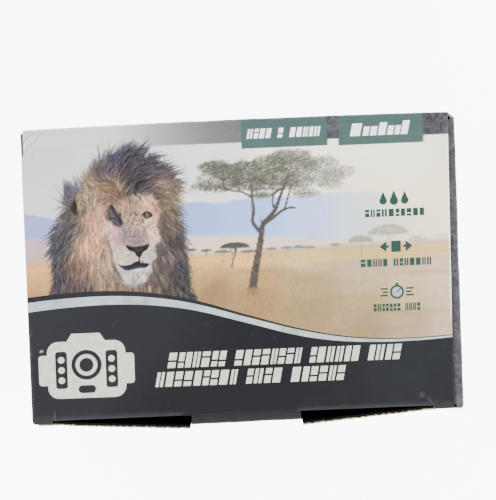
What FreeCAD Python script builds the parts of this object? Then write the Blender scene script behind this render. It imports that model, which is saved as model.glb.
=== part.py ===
"""Retail carton of a compact trail camera, lid closed, with the camera packed inside.

Millimetres, +Z up. X runs along the carton's width. The lid hinges along the back edge (+Y) and its
two tabs lock into the double front wall (-Y). The origin is the middle of the carton's underside.

The carton is one blank of micro-flute board, creased and folded up with no glue: each panel between
two creases is a node. Both side walls are double and rolled over at the top, with the ears of the
front and back walls held between their plies. The front wall is double too, and is rolled over only
along the spine in its middle, which leaves a slot on each side for a lock tab.
"""
import FreeCAD, Part
import os
import re

import Sketcher

doc = FreeCAD.newDocument("TrailCameraCarton")

SIZES = (
    # carton
    ("board", 1.3),
    ("gap", 0.3),
    ("carton_width", 153.0),
    ("carton_height", 70.0),
    ("lid_width", 150.0),
    ("lid_depth", 103.5),
    ("lid_shift", 1.2),
    ("front_ledge", 3.0),
    ("corner_reach", 1.1),
    ("corner_length", 7.0),
    ("corner_radius", 2.5),
    ("notch", 1.4),
    ("ear_length", 38.0),
    ("spine_length", 39.0),
    ("tab_inset", 8.4),
    ("tab_depth", 13.0),
    ("tab_taper", 5.0),
    # packing
    ("deck_level", 34.0),
    ("leg_inset", 9.0),
    ("finger_notch", 9.0),
    ("window_gap", 1.0),
    ("leaflet_length", 138.0),
    ("leaflet_width", 95.0),
    ("leaflet_thickness", 1.8),
    # camera
    ("camera_length", 105.0),
    ("camera_width", 85.0),
    ("camera_depth", 54.0),
    ("rear_depth", 27.0),
    ("gasket_thickness", 0.8),
    ("case_wall", 2.5),
    ("case_corner", 12.0),
    ("case_edge", 3.0),
    ("play", 0.1),
    ("gasket_inset", 0.8),
    ("socket_radius", 5.0),
    ("socket_height", 8.0),
    ("thread_radius", 3.1),
    ("thread_depth", 6.0),
    ("lens_offset", 8.0),
    ("barrel_radius", 12.0),
    ("barrel_bore", 8.5),
    ("barrel_length", 19.0),
    ("barrel_reach", 2.0),
    ("glass_thickness", 1.5),
    ("sensor_offset", 27.0),
    ("sensor_radius", 13.0),
    ("dome_radius", 16.0),
    ("detector_radius", 4.6),
    ("detector_height", 6.0),
    ("chip_size", 10.0),
    ("chip_thickness", 2.0),
    ("infrared_offset", 36.0),
    ("infrared_length", 18.0),
    ("infrared_width", 60.0),
    ("infrared_corner", 4.0),
    ("led_radius", 1.5),
    ("led_height", 4.0),
    ("led_gap", 2.0),
    ("led_pitch_x", 4.2),
    ("led_pitch_y", 6.2),
    ("circuit_board", 1.6),
    ("board_inset", 8.0),
    ("tray_length", 92.0),
    ("tray_width", 66.0),
    ("tray_height", 17.0),
    ("tray_lift", 6.0),
    ("tray_end", 3.0),
    ("contact_width", 7.0),
    ("contact_height", 5.0),
    ("contact_thickness", 0.5),
    ("bay_radius", 7.4),
    ("bay_pitch", 16.0),
    ("knuckle_radius", 3.0),
    ("knuckle_sink", 0.6),
    ("knuckle_length", 14.0),
    ("pin_radius", 1.25),
    ("latch_width", 16.0),
    ("latch_height", 24.0),
    ("latch_thickness", 2.4),
    ("screen_offset", 17.0),
    ("screen_length", 42.0),
    ("screen_width", 34.0),
    ("screen_thickness", 2.6),
    ("keypad_offset", 12.0),
    ("key_radius", 3.0),
    ("key_height", 1.8),
    ("key_pitch", 8.0),
    ("mat_length", 42.0),
    ("mat_width", 8.0),
    ("mat_thickness", 1.2),
    ("switch_offset", 24.0),
    ("switch_size", 4.0),
)

LED_ROWS = 3
LED_COLUMNS = 8
BATTERY_BAYS = 4
KEYS = 5

ALIASES = re.compile(r"\b(" + "|".join(alias for alias, value in SIZES) + r")\b")
SIDES = (("left", -1), ("right", 1))


# ---------------------------------------------------------------- the sheet and its formulas

def make_sheet():
    sheet = doc.addObject("Spreadsheet::Sheet", "Sizes")
    for row, (alias, value) in enumerate(SIZES, start=1):
        sheet.set(f"A{row}", alias)
        sheet.set(f"B{row}", str(value))
        sheet.setAlias(f"B{row}", alias)
    doc.recompute()


def linked(formula):
    """The formula with every size in it pointing at its cell."""
    return ALIASES.sub(r"Sizes.\1", str(formula))


def place(item, x, y, z):
    for axis, formula in zip("xyz", (x, y, z)):
        item.setExpression(f"Placement.Base.{axis}", linked(formula))


def mirrored(sign, low, high):
    """The limits of a piece on the right, or of its twin on the left."""
    return (low, high) if sign > 0 else (f"-({high})", f"-({low})")


# Levels and faces that several pieces share.
FLOOR = "board"
LID_UNDERSIDE = "(carton_height - board)"
WALL_TOP = "(carton_height - board - gap)"
FOLD_UNDERSIDE = "(carton_height - 2 * board - gap)"
BACK = "((lid_depth + front_ledge) / 2)"
FRONT = "(-(lid_depth + front_ledge) / 2)"
LID_FRONT = f"({FRONT} + front_ledge)"
TAB_BACK = f"({LID_FRONT} + board)"
INNER_FRONT = f"({TAB_BACK} + gap)"
ROOM_FRONT = f"({INNER_FRONT} + board)"
ROOM_BACK = f"({BACK} - board)"
ROOM_MIDDLE = f"(({ROOM_FRONT} + {ROOM_BACK}) / 2)"
SIDE = "(carton_width / 2)"
ROOM_SIDE = f"({SIDE} - 3 * board)"
BETWEEN_SIDES = (f"-({SIDE} - board)", f"{SIDE} - board")
CAMERA_FLOOR = "(board + leaflet_thickness)"
CASE_SPLIT = f"({CAMERA_FLOOR} + rear_depth)"
FRONT_CASE = f"({CASE_SPLIT} + gasket_thickness)"
CAMERA_FACE = f"({CAMERA_FLOOR} + camera_depth)"
CASE_SIDE = f"({ROOM_MIDDLE} + camera_width / 2)"
CASE_OTHER_SIDE = f"({ROOM_MIDDLE} - camera_width / 2)"


# ---------------------------------------------------------------- basic shapes

def block(name, across, along, up):
    """A box between three pairs of limits, in X, Y and Z."""
    item = doc.addObject("Part::Box", name)
    limits = (across, along, up)
    for side, (low, high) in zip(("Length", "Width", "Height"), limits):
        item.setExpression(side, linked(f"({high}) - ({low})"))
    place(item, *(low for low, high in limits))
    return item


def rod(name, radius, length, start, direction=(0, 0, 1)):
    """A cylinder from its start point along a direction."""
    item = doc.addObject("Part::Cylinder", name)
    item.setExpression("Radius", linked(radius))
    item.setExpression("Height", linked(length))
    turn = FreeCAD.Rotation(FreeCAD.Vector(0, 0, 1), FreeCAD.Vector(*direction))
    item.Placement = FreeCAD.Placement(FreeCAD.Vector(), turn)
    place(item, *start)
    return item


def fuse(name, *pieces):
    item = doc.addObject("Part::MultiFuse", name)
    item.Shapes = list(pieces)
    return item


def cut(name, base, *tools):
    item = doc.addObject("Part::Cut", name)
    item.Base = base
    item.Tool = tools[0] if len(tools) == 1 else fuse(f"{name}_cutter", *tools)
    return item


def group(name, pieces):
    item = doc.addObject("Part::Compound", name)
    item.Links = list(pieces)
    return item


def origin_plane(body, role):
    return next(plane for plane in body.Origin.OriginFeatures if plane.Role == role)


def outline_sketch(body, points, plane="XY_Plane"):
    """A closed outline of straight sides. Each point is a pair of formulas."""
    sketch = body.newObject("Sketcher::SketchObject", f"{body.Name}_outline")
    sketch.AttachmentSupport = [(origin_plane(body, plane), "")]
    sketch.MapMode = "FlatFace"
    corners = [FreeCAD.Vector(*(value_of(part) for part in point), 0) for point in points]
    count = len(corners)
    for here in range(count):
        sketch.addGeometry(Part.LineSegment(corners[here], corners[(here + 1) % count]))
    for here in range(count):
        sketch.addConstraint(Sketcher.Constraint("Coincident", here, 2, (here + 1) % count, 1))
    for here, point in enumerate(points):
        for kind, axis in (("DistanceX", 0), ("DistanceY", 1)):
            value = corners[here][axis]
            index = sketch.addConstraint(Sketcher.Constraint(kind, -1, 1, here, 1, value))
            name = f"corner_{here}_{'xy'[axis]}"
            sketch.renameConstraint(index, name)
            sketch.setExpression(f"Constraints.{name}", linked(point[axis]))
    return sketch


def value_of(formula):
    """A formula's number, worked out by the sheet."""
    return float(doc.Sizes.evalExpression(ALIASES.sub(r"\1", str(formula))))


def pad_body(name, points, height, plane="XY_Plane", rounds=()):
    """A plate of a given outline, with its upright edges at the listed corners rounded."""
    body = doc.addObject("PartDesign::Body", name)
    pad = body.newObject("PartDesign::Pad", f"{name}_pad")
    pad.Profile = outline_sketch(body, points, plane)
    pad.setExpression("Length", linked(height))
    doc.recompute()
    for number, (choose, radius) in enumerate(rounds):
        round_edges(body, f"{name}_round_{number}", choose, radius)
    return body


def round_edges(body, name, choose, radius):
    """Fillet the edges of a body's tip that the test picks out."""
    base = body.Tip
    edges = [f"Edge{n}" for n, edge in enumerate(base.Shape.Edges, start=1) if choose(edge)]
    fillet = body.newObject("PartDesign::Fillet", name)
    fillet.Base = (base, edges)
    fillet.setExpression("Radius", linked(radius))
    body.Tip = fillet
    doc.recompute()
    return fillet


def upright(edge):
    ends = [vertex.Point for vertex in edge.Vertexes]
    return len(ends) == 2 and (ends[0] - ends[1]).cross(FreeCAD.Vector(0, 0, 1)).Length < 1e-6


def rectangle(length, width):
    half_x, half_y = f"{length} / 2", f"{width} / 2"
    return ((f"-{half_x}", f"-{half_y}"), (half_x, f"-{half_y}"), (half_x, half_y), (f"-{half_x}", half_y))


def rounded_block(name, length, width, height, radius, middle):
    """An upright block with rounded corners, standing on its middle point."""
    body = pad_body(name, rectangle(length, width), height, rounds=((upright, radius),))
    place(body, *middle)
    return body


# ---------------------------------------------------------------- carton

def carton_floor_and_back():
    floor = block("base_panel", (f"-{SIDE}", SIDE), (FRONT, BACK), ("0", FLOOR))
    back = block("back_wall", BETWEEN_SIDES, (ROOM_BACK, BACK), (FLOOR, WALL_TOP))
    return [floor, back]


def front_wall():
    """Outer and inner wall, joined over the top by the spine between the two slots."""
    spine_limits = ("-lid_shift - spine_length / 2", "-lid_shift + spine_length / 2")
    spine_height = (FOLD_UNDERSIDE, WALL_TOP)
    outer_limits = (FRONT, f"{FRONT} + board")
    inner_limits = (INNER_FRONT, ROOM_FRONT)
    spine = block("front_wall_spine", spine_limits, (FRONT, ROOM_FRONT), spine_height)
    outer = cut("front_wall_outer",
                block("front_wall_outer_sheet", BETWEEN_SIDES, outer_limits, (FLOOR, WALL_TOP)),
                block("front_wall_outer_fold", spine_limits, outer_limits, spine_height))
    inner = cut("front_wall_inner",
                block("front_wall_inner_sheet", (f"-{ROOM_SIDE}", ROOM_SIDE), inner_limits,
                      (FLOOR, WALL_TOP)),
                block("front_wall_inner_fold", spine_limits, inner_limits, spine_height))
    return [spine, outer, inner]


def side_wall(side, sign):
    """Outer wall, rolled top and inner wall, three boards thick in all."""
    between = (f"{FRONT} + board", ROOM_BACK)
    outer = block(f"{side}_wall_outer", mirrored(sign, f"{SIDE} - board", SIDE), (FRONT, BACK),
                  (FLOOR, FOLD_UNDERSIDE))
    spine = fuse(f"{side}_wall_spine",
                 block(f"{side}_fold", mirrored(sign, ROOM_SIDE, SIDE), between, (FOLD_UNDERSIDE, WALL_TOP)),
                 block(f"{side}_fold_edge", mirrored(sign, f"{SIDE} - board", SIDE), (FRONT, BACK),
                       (FOLD_UNDERSIDE, WALL_TOP)))
    inner = block(f"{side}_wall_inner", mirrored(sign, ROOM_SIDE, f"{ROOM_SIDE} + board"), between,
                  (FLOOR, FOLD_UNDERSIDE))
    return [outer, spine, inner]


def corner_ears(side, sign):
    """Ears of the front and back walls, held between the plies of a side wall."""
    across = mirrored(sign, f"{SIDE} - 2 * board", f"{SIDE} - board")
    up = (FLOOR, FOLD_UNDERSIDE)
    front = block(f"front_ear_{side}", across, (f"{FRONT} + board", f"{FRONT} + board + ear_length"), up)
    back = block(f"back_ear_{side}", across, (f"{ROOM_BACK} - ear_length", ROOM_BACK), up)
    return [front, back]


def lid_panel():
    """The lid's outline: corners that reach past the crease, with a relief notch inside each."""
    edge = "(lid_width / 2)"
    reach = f"({LID_FRONT} - corner_reach)"
    notch_in = f"({LID_FRONT} + notch / 2)"
    shoulder = f"({edge} - corner_length)"
    points = [(f"-{edge}", BACK), (f"-{edge}", reach), (f"-{shoulder}", reach), (f"-{shoulder}", notch_in),
              (f"-({shoulder} - notch)", notch_in), (f"-({shoulder} - notch)", LID_FRONT),
              (f"{shoulder} - notch", LID_FRONT), (f"{shoulder} - notch", notch_in),
              (shoulder, notch_in), (shoulder, reach), (edge, reach), (edge, BACK)]
    front_reach = value_of(reach)
    half_width = value_of(edge)

    def front_corner(curve):
        point = curve.Vertexes[0].Point
        return upright(curve) and abs(point.y - front_reach) < 0.01 and abs(abs(point.x) - half_width) < 0.01

    body = pad_body("lid_panel", points, "board", rounds=((front_corner, "corner_radius"),))
    place(body, "-lid_shift", "0", LID_UNDERSIDE)
    return [body]


def lock_tab(side, sign):
    """A tapered tab that hangs from the lid's front crease into its slot."""
    inner_end = "spine_length / 2 + gap"
    outer_end = "lid_width / 2 - tab_inset"
    points = [(inner_end, "0"), (f"{inner_end} + tab_taper / 2", "-tab_depth"),
              (f"{outer_end} - tab_taper", "-tab_depth"), (outer_end, "0")]
    if sign < 0:
        points = [(f"-({x})", z) for x, z in points]
    body = pad_body(f"lock_tab_{side}", points, "board", plane="XZ_Plane")
    place(body, "-lid_shift", TAB_BACK, LID_UNDERSIDE)
    return [body]


# ---------------------------------------------------------------- packing

def insert():
    """A folded board cradle: a deck with the camera's window, on two legs."""
    below, above = "(deck_level - board)", "(deck_level + 2 * board)"
    length = (f"{ROOM_FRONT} + gap", f"{ROOM_BACK} - gap")
    window = rounded_block("insert_window", "(camera_length + 2 * window_gap)",
                           "(camera_width + 2 * window_gap)", "4 * board", "case_corner",
                           ("0", ROOM_MIDDLE, below))
    notches = [rod(f"finger_notch_{name}", "finger_notch", "4 * board",
                   (f"{sign} * (camera_length / 2 + window_gap)", ROOM_MIDDLE, below))
               for name, sign in SIDES]
    hinge_room = block("insert_hinge_room", ("-2 * knuckle_length", "2 * knuckle_length"),
                       (f"{CASE_SIDE} - window_gap", f"{CASE_SIDE} + 2 * knuckle_radius"), (below, above))
    latch_room = block("insert_latch_room",
                       ("-camera_length / 4 - latch_width", "camera_length / 4 + latch_width"),
                       (f"{CASE_OTHER_SIDE} - latch_thickness - 2 * gap", f"{CASE_OTHER_SIDE} + window_gap"),
                       (below, above))
    sheet = block("insert_sheet", (f"-{ROOM_SIDE} + gap", f"{ROOM_SIDE} - gap"), length,
                  ("deck_level", "deck_level + board"))
    deck = cut("insert_deck", sheet, window, hinge_room, latch_room, *notches)
    legs = [block(f"insert_leg_{side}",
                  mirrored(sign, f"{ROOM_SIDE} - leg_inset", f"{ROOM_SIDE} - leg_inset + board"),
                  length, (CAMERA_FLOOR, "deck_level"))
            for side, sign in SIDES]
    return [deck, *legs]


def leaflet():
    return [block("user_leaflet", ("-leaflet_length / 2", "leaflet_length / 2"),
                  (f"{ROOM_MIDDLE} - leaflet_width / 2", f"{ROOM_MIDDLE} + leaflet_width / 2"),
                  (FLOOR, CAMERA_FLOOR))]


# ---------------------------------------------------------------- camera, face up, its top to the left

def on_hinge_line(name, radius, start, length):
    """A round piece along the line that the front case turns about."""
    return rod(name, radius, length, (start, f"{CASE_SIDE} + knuckle_radius - knuckle_sink", CASE_SPLIT),
               (1, 0, 0))


def hinge_bore(name):
    return on_hinge_line(name, "pin_radius", "-2 * knuckle_length", "4 * knuckle_length")


def case_cavity(name, depth, level):
    return rounded_block(name, "(camera_length - 2 * case_wall)", "(camera_width - 2 * case_wall)", depth,
                         "case_corner - case_wall", ("0", ROOM_MIDDLE, level))


def rear_case():
    """The half that straps to a tree, with two hinge knuckles and the tripod socket's hole."""
    outside = rounded_block("rear_outside", "camera_length", "camera_width", "rear_depth", "case_corner",
                            ("0", ROOM_MIDDLE, CAMERA_FLOOR))
    starts = ("-1.5 * knuckle_length - gap", "0.5 * knuckle_length + gap")
    pair = [on_hinge_line(f"rear_knuckle_{side}", "knuckle_radius", start, "knuckle_length")
            for (side, sign), start in zip(SIDES, starts)]
    cavity = case_cavity("rear_cavity", "rear_depth + knuckle_radius", f"{CAMERA_FLOOR} + case_wall")
    socket = rod("socket_hole", "socket_radius", "3 * case_wall",
                 ("camera_length / 4", ROOM_MIDDLE, f"{CAMERA_FLOOR} - case_wall"))
    trim = block("rear_knuckle_trim", ("-2 * knuckle_length", "2 * knuckle_length"),
                 (f"{CASE_SIDE} - 2 * case_wall", CASE_SIDE),
                 (CASE_SPLIT, f"{CASE_SPLIT} + 2 * knuckle_radius"))
    return [cut("camera_rear_case", fuse("rear_with_knuckles", outside, *pair), cavity, socket,
                hinge_bore("rear_hinge_bore"), trim)]


def front_case():
    """The face half: holes for the lens, the motion sensor and the infrared window."""
    depth = "(camera_depth - rear_depth - gasket_thickness)"
    outside = rounded_block("front_outside", "camera_length", "camera_width", depth, "case_corner",
                            ("0", ROOM_MIDDLE, FRONT_CASE))
    top = value_of(depth)
    round_edges(outside, "front_face_edge",
                lambda edge: all(abs(vertex.Point.z - top) < 0.01 for vertex in edge.Vertexes), "case_edge")
    cavity = case_cavity("front_cavity", f"{depth} - case_wall", FRONT_CASE)
    deep = "3 * case_wall"
    level = f"{CAMERA_FACE} - 2 * case_wall"
    lens_hole = rod("lens_hole", "barrel_radius + play", deep, ("-lens_offset", ROOM_MIDDLE, level))
    sensor_hole = rod("sensor_hole", "sensor_radius + play", deep, ("sensor_offset", ROOM_MIDDLE, level))
    window_hole = rounded_block("infrared_hole", "(infrared_length + 2 * play)",
                                "(infrared_width + 2 * play)", deep, "infrared_corner + play",
                                ("-infrared_offset", ROOM_MIDDLE, level))
    middle = on_hinge_line("front_knuckle", "knuckle_radius", "-0.5 * knuckle_length", "knuckle_length")
    trim = block("front_knuckle_trim", ("-knuckle_length", "knuckle_length"),
                 (f"{CASE_SIDE} - 2 * case_wall", CASE_SIDE),
                 (f"{CASE_SPLIT} - 2 * knuckle_radius", FRONT_CASE))
    return [cut("camera_front_case", fuse("front_with_knuckle", outside, middle), cavity, lens_hole,
                sensor_hole, window_hole, hinge_bore("front_hinge_bore"), trim)]


def case_hardware():
    """Gasket between the halves, hinge pin, two latches and the tripod socket."""
    ring = cut("case_gasket",
               rounded_block("gasket_outside", "(camera_length - 2 * gasket_inset)",
                             "(camera_width - 2 * gasket_inset)", "gasket_thickness",
                             "case_corner - gasket_inset", ("0", ROOM_MIDDLE, CASE_SPLIT)),
               case_cavity("gasket_opening", "gasket_thickness", CASE_SPLIT))
    pin = on_hinge_line("hinge_pin", "pin_radius", "-1.5 * knuckle_length - gap",
                        "3 * knuckle_length + 2 * gap")
    latches = []
    for name, sign in (("upper", -1), ("lower", 1)):
        middle = f"{sign} * camera_length / 4"
        across = (f"{middle} - latch_width / 2", f"{middle} + latch_width / 2")
        along = (f"{CASE_OTHER_SIDE} - latch_thickness", CASE_OTHER_SIDE)
        up = (f"{CASE_SPLIT} - latch_height / 2", f"{CASE_SPLIT} + latch_height / 2")
        latches.append(block(f"case_latch_{name}", across, along, up))
    socket_place = ("camera_length / 4", ROOM_MIDDLE, CAMERA_FLOOR)
    socket = cut("tripod_socket", rod("socket_body", "socket_radius", "socket_height", socket_place),
                 rod("socket_thread", "thread_radius", "thread_depth", socket_place))
    return [ring, pin, *latches, socket]


def optics():
    """Lens barrel and glass, image sensor, motion sensor with its lens."""
    barrel_start = ("-lens_offset", ROOM_MIDDLE, f"{CAMERA_FACE} + barrel_reach - barrel_length")
    barrel = cut("lens_barrel", rod("barrel_outside", "barrel_radius", "barrel_length", barrel_start),
                 rod("barrel_inside", "barrel_bore", "barrel_length", barrel_start))
    glass = rod("lens_glass", "barrel_bore", "glass_thickness",
                ("-lens_offset", ROOM_MIDDLE, f"{CAMERA_FACE} - glass_thickness"))
    board_top = f"({FRONT_CASE} + circuit_board)"
    image_sensor = block("image_sensor", ("-lens_offset - chip_size / 2", "-lens_offset + chip_size / 2"),
                         (f"{ROOM_MIDDLE} - chip_size / 2", f"{ROOM_MIDDLE} + chip_size / 2"),
                         (board_top, f"{board_top} + chip_thickness"))
    dome = doc.addObject("Part::Sphere", "motion_sensor_lens")
    dome.setExpression("Radius", linked("dome_radius"))
    dome.setExpression("Angle1", linked("acos(sensor_radius / dome_radius)"))
    place(dome, "sensor_offset", ROOM_MIDDLE,
          f"{CAMERA_FACE} - case_wall - sqrt(dome_radius * dome_radius - sensor_radius * sensor_radius)")
    detector = rod("motion_sensor", "detector_radius", "detector_height",
                   ("sensor_offset", ROOM_MIDDLE, board_top))
    return [barrel, glass, image_sensor, dome, detector]


def infrared_light():
    """A dark window over rows of infrared LEDs on a board of their own."""
    window = rounded_block("infrared_window", "infrared_length", "infrared_width", "case_wall - gap",
                           "infrared_corner", ("-infrared_offset", ROOM_MIDDLE, f"{CAMERA_FACE} - case_wall"))
    board_top = f"({CAMERA_FACE} - case_wall - led_gap - led_height)"
    across = ("-infrared_offset - infrared_length / 2", "-infrared_offset + infrared_length / 2")
    along = (f"{ROOM_MIDDLE} - infrared_width / 2", f"{ROOM_MIDDLE} + infrared_width / 2")
    led_board = block("led_board", across, along, (f"{board_top} - circuit_board", board_top))
    leds = []
    for row in range(LED_ROWS):
        for column in range(LED_COLUMNS):
            leds.append(rod(f"led_{row}_{column}", "led_radius", "led_height",
                            (f"-infrared_offset + ({row - (LED_ROWS - 1) / 2}) * led_pitch_x",
                             f"{ROOM_MIDDLE} + ({column - (LED_COLUMNS - 1) / 2}) * led_pitch_y", board_top)))
    return [window, led_board, group("infrared_leds", leds)]


def electronics():
    """Main board, display, keypad and mode switch on its back, and the battery tray behind them."""
    board_bottom = FRONT_CASE
    main_board = block("main_board", ("-camera_length / 2 + board_inset", "camera_length / 2 - board_inset"),
                       (f"{CASE_OTHER_SIDE} + board_inset", f"{CASE_SIDE} - board_inset"),
                       (board_bottom, f"{board_bottom} + circuit_board"))
    screen = block("display_screen",
                   ("-screen_offset - screen_length / 2", "-screen_offset + screen_length / 2"),
                   (f"{ROOM_MIDDLE} - screen_width / 2", f"{ROOM_MIDDLE} + screen_width / 2"),
                   (f"{board_bottom} - screen_thickness", board_bottom))
    keys = [rod(f"key_{number}", "key_radius", "key_height",
                ("keypad_offset", f"{ROOM_MIDDLE} + ({number - (KEYS - 1) / 2}) * key_pitch",
                 f"{board_bottom} - mat_thickness - key_height"))
            for number in range(KEYS)]
    mat = block("keypad_mat", ("keypad_offset - mat_width / 2", "keypad_offset + mat_width / 2"),
                (f"{ROOM_MIDDLE} - mat_length / 2", f"{ROOM_MIDDLE} + mat_length / 2"),
                (f"{board_bottom} - mat_thickness", board_bottom))
    keypad = fuse("keypad", mat, *keys)
    switch = block("mode_switch", ("switch_offset", "switch_offset + switch_size"),
                   (ROOM_MIDDLE, f"{ROOM_MIDDLE} + switch_size"),
                   (f"{board_bottom} - gap - switch_size", f"{board_bottom} - gap"))
    tray_level = f"({CAMERA_FLOOR} + case_wall)"
    tray_block = block("tray_block", ("-tray_length / 2", "tray_length / 2"),
                       (f"{ROOM_MIDDLE} - tray_width / 2", f"{ROOM_MIDDLE} + tray_width / 2"),
                       (f"{tray_level} + tray_lift", f"{tray_level} + tray_height"))
    bay_lines = [f"{ROOM_MIDDLE} + ({number - (BATTERY_BAYS - 1) / 2}) * bay_pitch"
                 for number in range(BATTERY_BAYS)]
    bays = [rod(f"bay_{number}", "bay_radius", "tray_length - 2 * tray_end",
                ("-tray_length / 2 + tray_end", line, f"{tray_level} + tray_height"), (1, 0, 0))
            for number, line in enumerate(bay_lines)]
    tray = cut("battery_tray", tray_block, *bays)
    contacts = []
    for number, line in enumerate(bay_lines):
        for end, sign in SIDES:
            across = mirrored(sign, "tray_length / 2 - tray_end - contact_thickness",
                              "tray_length / 2 - tray_end")
            along = (f"{line} - contact_width / 2", f"{line} + contact_width / 2")
            up = (f"{tray_level} + tray_height - contact_height", f"{tray_level} + tray_height")
            contacts.append(block(f"contact_{end}_{number}", across, along, up))
    return [main_board, screen, keypad, switch, tray, group("battery_contacts", contacts)]


# ---------------------------------------------------------------- build, test and export

def test_model(nodes):
    for item in doc.Objects:
        failed = [state for state in item.State if state in ("Invalid", "Error")]
        if failed:
            raise RuntimeError(f"{item.Label} is {failed}")
    for node in nodes:
        if node.Shape.isNull() or not node.Shape.isValid() or not node.Shape.Solids:
            raise RuntimeError(f"{node.Label} has no sound solid")


def export(nodes):
    os.makedirs("parts", exist_ok=True)
    for node in nodes:
        node.Shape.exportStep(os.path.join("parts", f"{node.Label}.step"))
        size = node.Shape.BoundBox
        print(f"{node.Label:22} {size.XLength:7.2f} {size.YLength:7.2f} {size.ZLength:7.2f}"
              f"  z {size.ZMin:6.2f} to {size.ZMax:6.2f}  {node.Shape.Volume:10.1f}")


make_sheet()
nodes = carton_floor_and_back() + front_wall()
for side, sign in SIDES:
    nodes += side_wall(side, sign) + corner_ears(side, sign) + lock_tab(side, sign)
nodes += lid_panel() + insert() + leaflet()
nodes += rear_case() + front_case() + case_hardware() + optics() + infrared_light() + electronics()
doc.recompute()
test_model(nodes)
export(nodes)
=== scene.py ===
import math

import bpy
import numpy as np
from mathutils import Matrix, Vector


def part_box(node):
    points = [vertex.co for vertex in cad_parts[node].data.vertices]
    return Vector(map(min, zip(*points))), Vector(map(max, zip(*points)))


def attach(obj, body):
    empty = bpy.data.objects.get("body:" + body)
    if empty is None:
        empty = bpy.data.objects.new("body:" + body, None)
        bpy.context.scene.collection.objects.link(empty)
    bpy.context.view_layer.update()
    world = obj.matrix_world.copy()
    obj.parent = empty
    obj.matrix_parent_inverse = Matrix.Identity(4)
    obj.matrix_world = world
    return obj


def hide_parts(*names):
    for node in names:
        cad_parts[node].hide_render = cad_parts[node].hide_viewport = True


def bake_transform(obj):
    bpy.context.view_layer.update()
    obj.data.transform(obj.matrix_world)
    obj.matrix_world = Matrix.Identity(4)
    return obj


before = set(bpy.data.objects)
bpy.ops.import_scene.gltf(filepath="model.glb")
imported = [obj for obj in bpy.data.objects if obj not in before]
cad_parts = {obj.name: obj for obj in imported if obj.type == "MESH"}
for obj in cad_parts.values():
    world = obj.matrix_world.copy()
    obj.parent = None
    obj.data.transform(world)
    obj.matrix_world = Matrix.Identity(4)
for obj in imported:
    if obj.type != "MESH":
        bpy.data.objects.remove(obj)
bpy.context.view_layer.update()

MM = 0.001


def limits(node):
    """Lowest and highest corner of a CAD node, in millimetres."""
    low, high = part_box(node)
    return np.array(low) / MM, np.array(high) / MM


LID_LOW, LID_HIGH = limits("lid_panel")
LID_TOP = LID_HIGH[2]
LID_LEFT, LID_RIGHT = LID_LOW[0], LID_HIGH[0]
LID_MIDDLE = (LID_LEFT + LID_RIGHT) / 2
HINGE = LID_HIGH[1]
CORNER_FRONT = LID_LOW[1]
CREASE = limits("lock_tab_left")[0][1]
WALL_TOP = limits("back_wall")[1][2]
FRONT = limits("front_wall_outer")[0][1]
SIDE = limits("right_wall_outer")[1][0]
ROOM_SIDE = limits("right_wall_inner")[0][0]
SPINE_LEFT, SPINE_RIGHT = limits("front_wall_spine")[0][0], limits("front_wall_spine")[1][0]
ROOM_FRONT = limits("front_wall_inner")[1][1]
BOARD_THICK = LID_HIGH[2] - LID_LOW[2]
FLUTE_PITCH = 2.4


# ---------------------------------------------------------------- numbers and noise

def smooth(value, low, high):
    t = np.clip((value - low) / (high - low), 0, 1)
    return t * t * (3 - 2 * t)


def lattice_noise(x, y, size, seed):
    """Value noise from -1 to 1 with features of the given size."""
    grid = np.random.default_rng(seed).uniform(-1, 1, (128, 128))
    u, v = x / size + 40, y / size + 40
    i, j = np.floor(u).astype(int), np.floor(v).astype(int)
    a, b = u - i, v - j
    a, b = a * a * (3 - 2 * a), b * b * (3 - 2 * b)
    i0, i1, j0, j1 = i % 128, (i + 1) % 128, j % 128, (j + 1) % 128
    low = grid[i0, j0] * (1 - a) + grid[i1, j0] * a
    high = grid[i0, j1] * (1 - a) + grid[i1, j1] * a
    return low * (1 - b) + high * b


def through(points, x):
    """Height of a smooth line through a few points, by cubic pieces."""
    xs, ys = np.array([p[0] for p in points], float), np.array([p[1] for p in points], float)
    slope = np.gradient(ys, xs)
    k = np.clip(np.searchsorted(xs, x) - 1, 0, len(xs) - 2)
    step = xs[k + 1] - xs[k]
    t = np.clip((x - xs[k]) / step, 0, 1)
    return ((2 * t**3 - 3 * t**2 + 1) * ys[k] + (t**3 - 2 * t**2 + t) * step * slope[k]
            + (3 * t**2 - 2 * t**3) * ys[k + 1] + (t**3 - t**2) * step * slope[k + 1])


def unit(vector):
    """The vector's direction, with a length of 1."""
    return vector / (np.hypot(*vector) + 1e-6)


def closed_curve(points, steps=6):
    """A smooth closed line through the points."""
    p = np.array(points, float)
    before, here, after, next_after = np.roll(p, 1, 0), p, np.roll(p, -1, 0), np.roll(p, -2, 0)
    t = (np.arange(steps) / steps)[None, :, None]
    h, a = here[:, None], after[:, None]
    slope_h, slope_a = (a - before[:, None]) / 2, (next_after[:, None] - h) / 2
    line = ((2 * t**3 - 3 * t**2 + 1) * h + (t**3 - 2 * t**2 + t) * slope_h
            + (3 * t**2 - 2 * t**3) * a + (t**3 - t**2) * slope_a)
    return line.reshape(-1, 2)


def open_curve(points, steps=8):
    """A smooth open line through the points."""
    p = np.array(points, float)
    stations = np.linspace(0, len(p) - 1, steps * (len(p) - 1) + 1)
    order = np.arange(len(p))
    return np.stack([through(list(zip(order, p[:, axis])), stations) for axis in (0, 1)], 1)


# ---------------------------------------------------------------- the printed picture

# Where the artwork's numbers come from: the points of its outlines were marked on enlarged views of the
# reference picture. Scratch programs turned most of them into places on the lid, and many were then moved by
# hand. The tones of the hair, face, grass and panel began as that picture's colours at their places. Scratch
# programs shifted those of the hair and the face, and rounded them and those of the grass.

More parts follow.
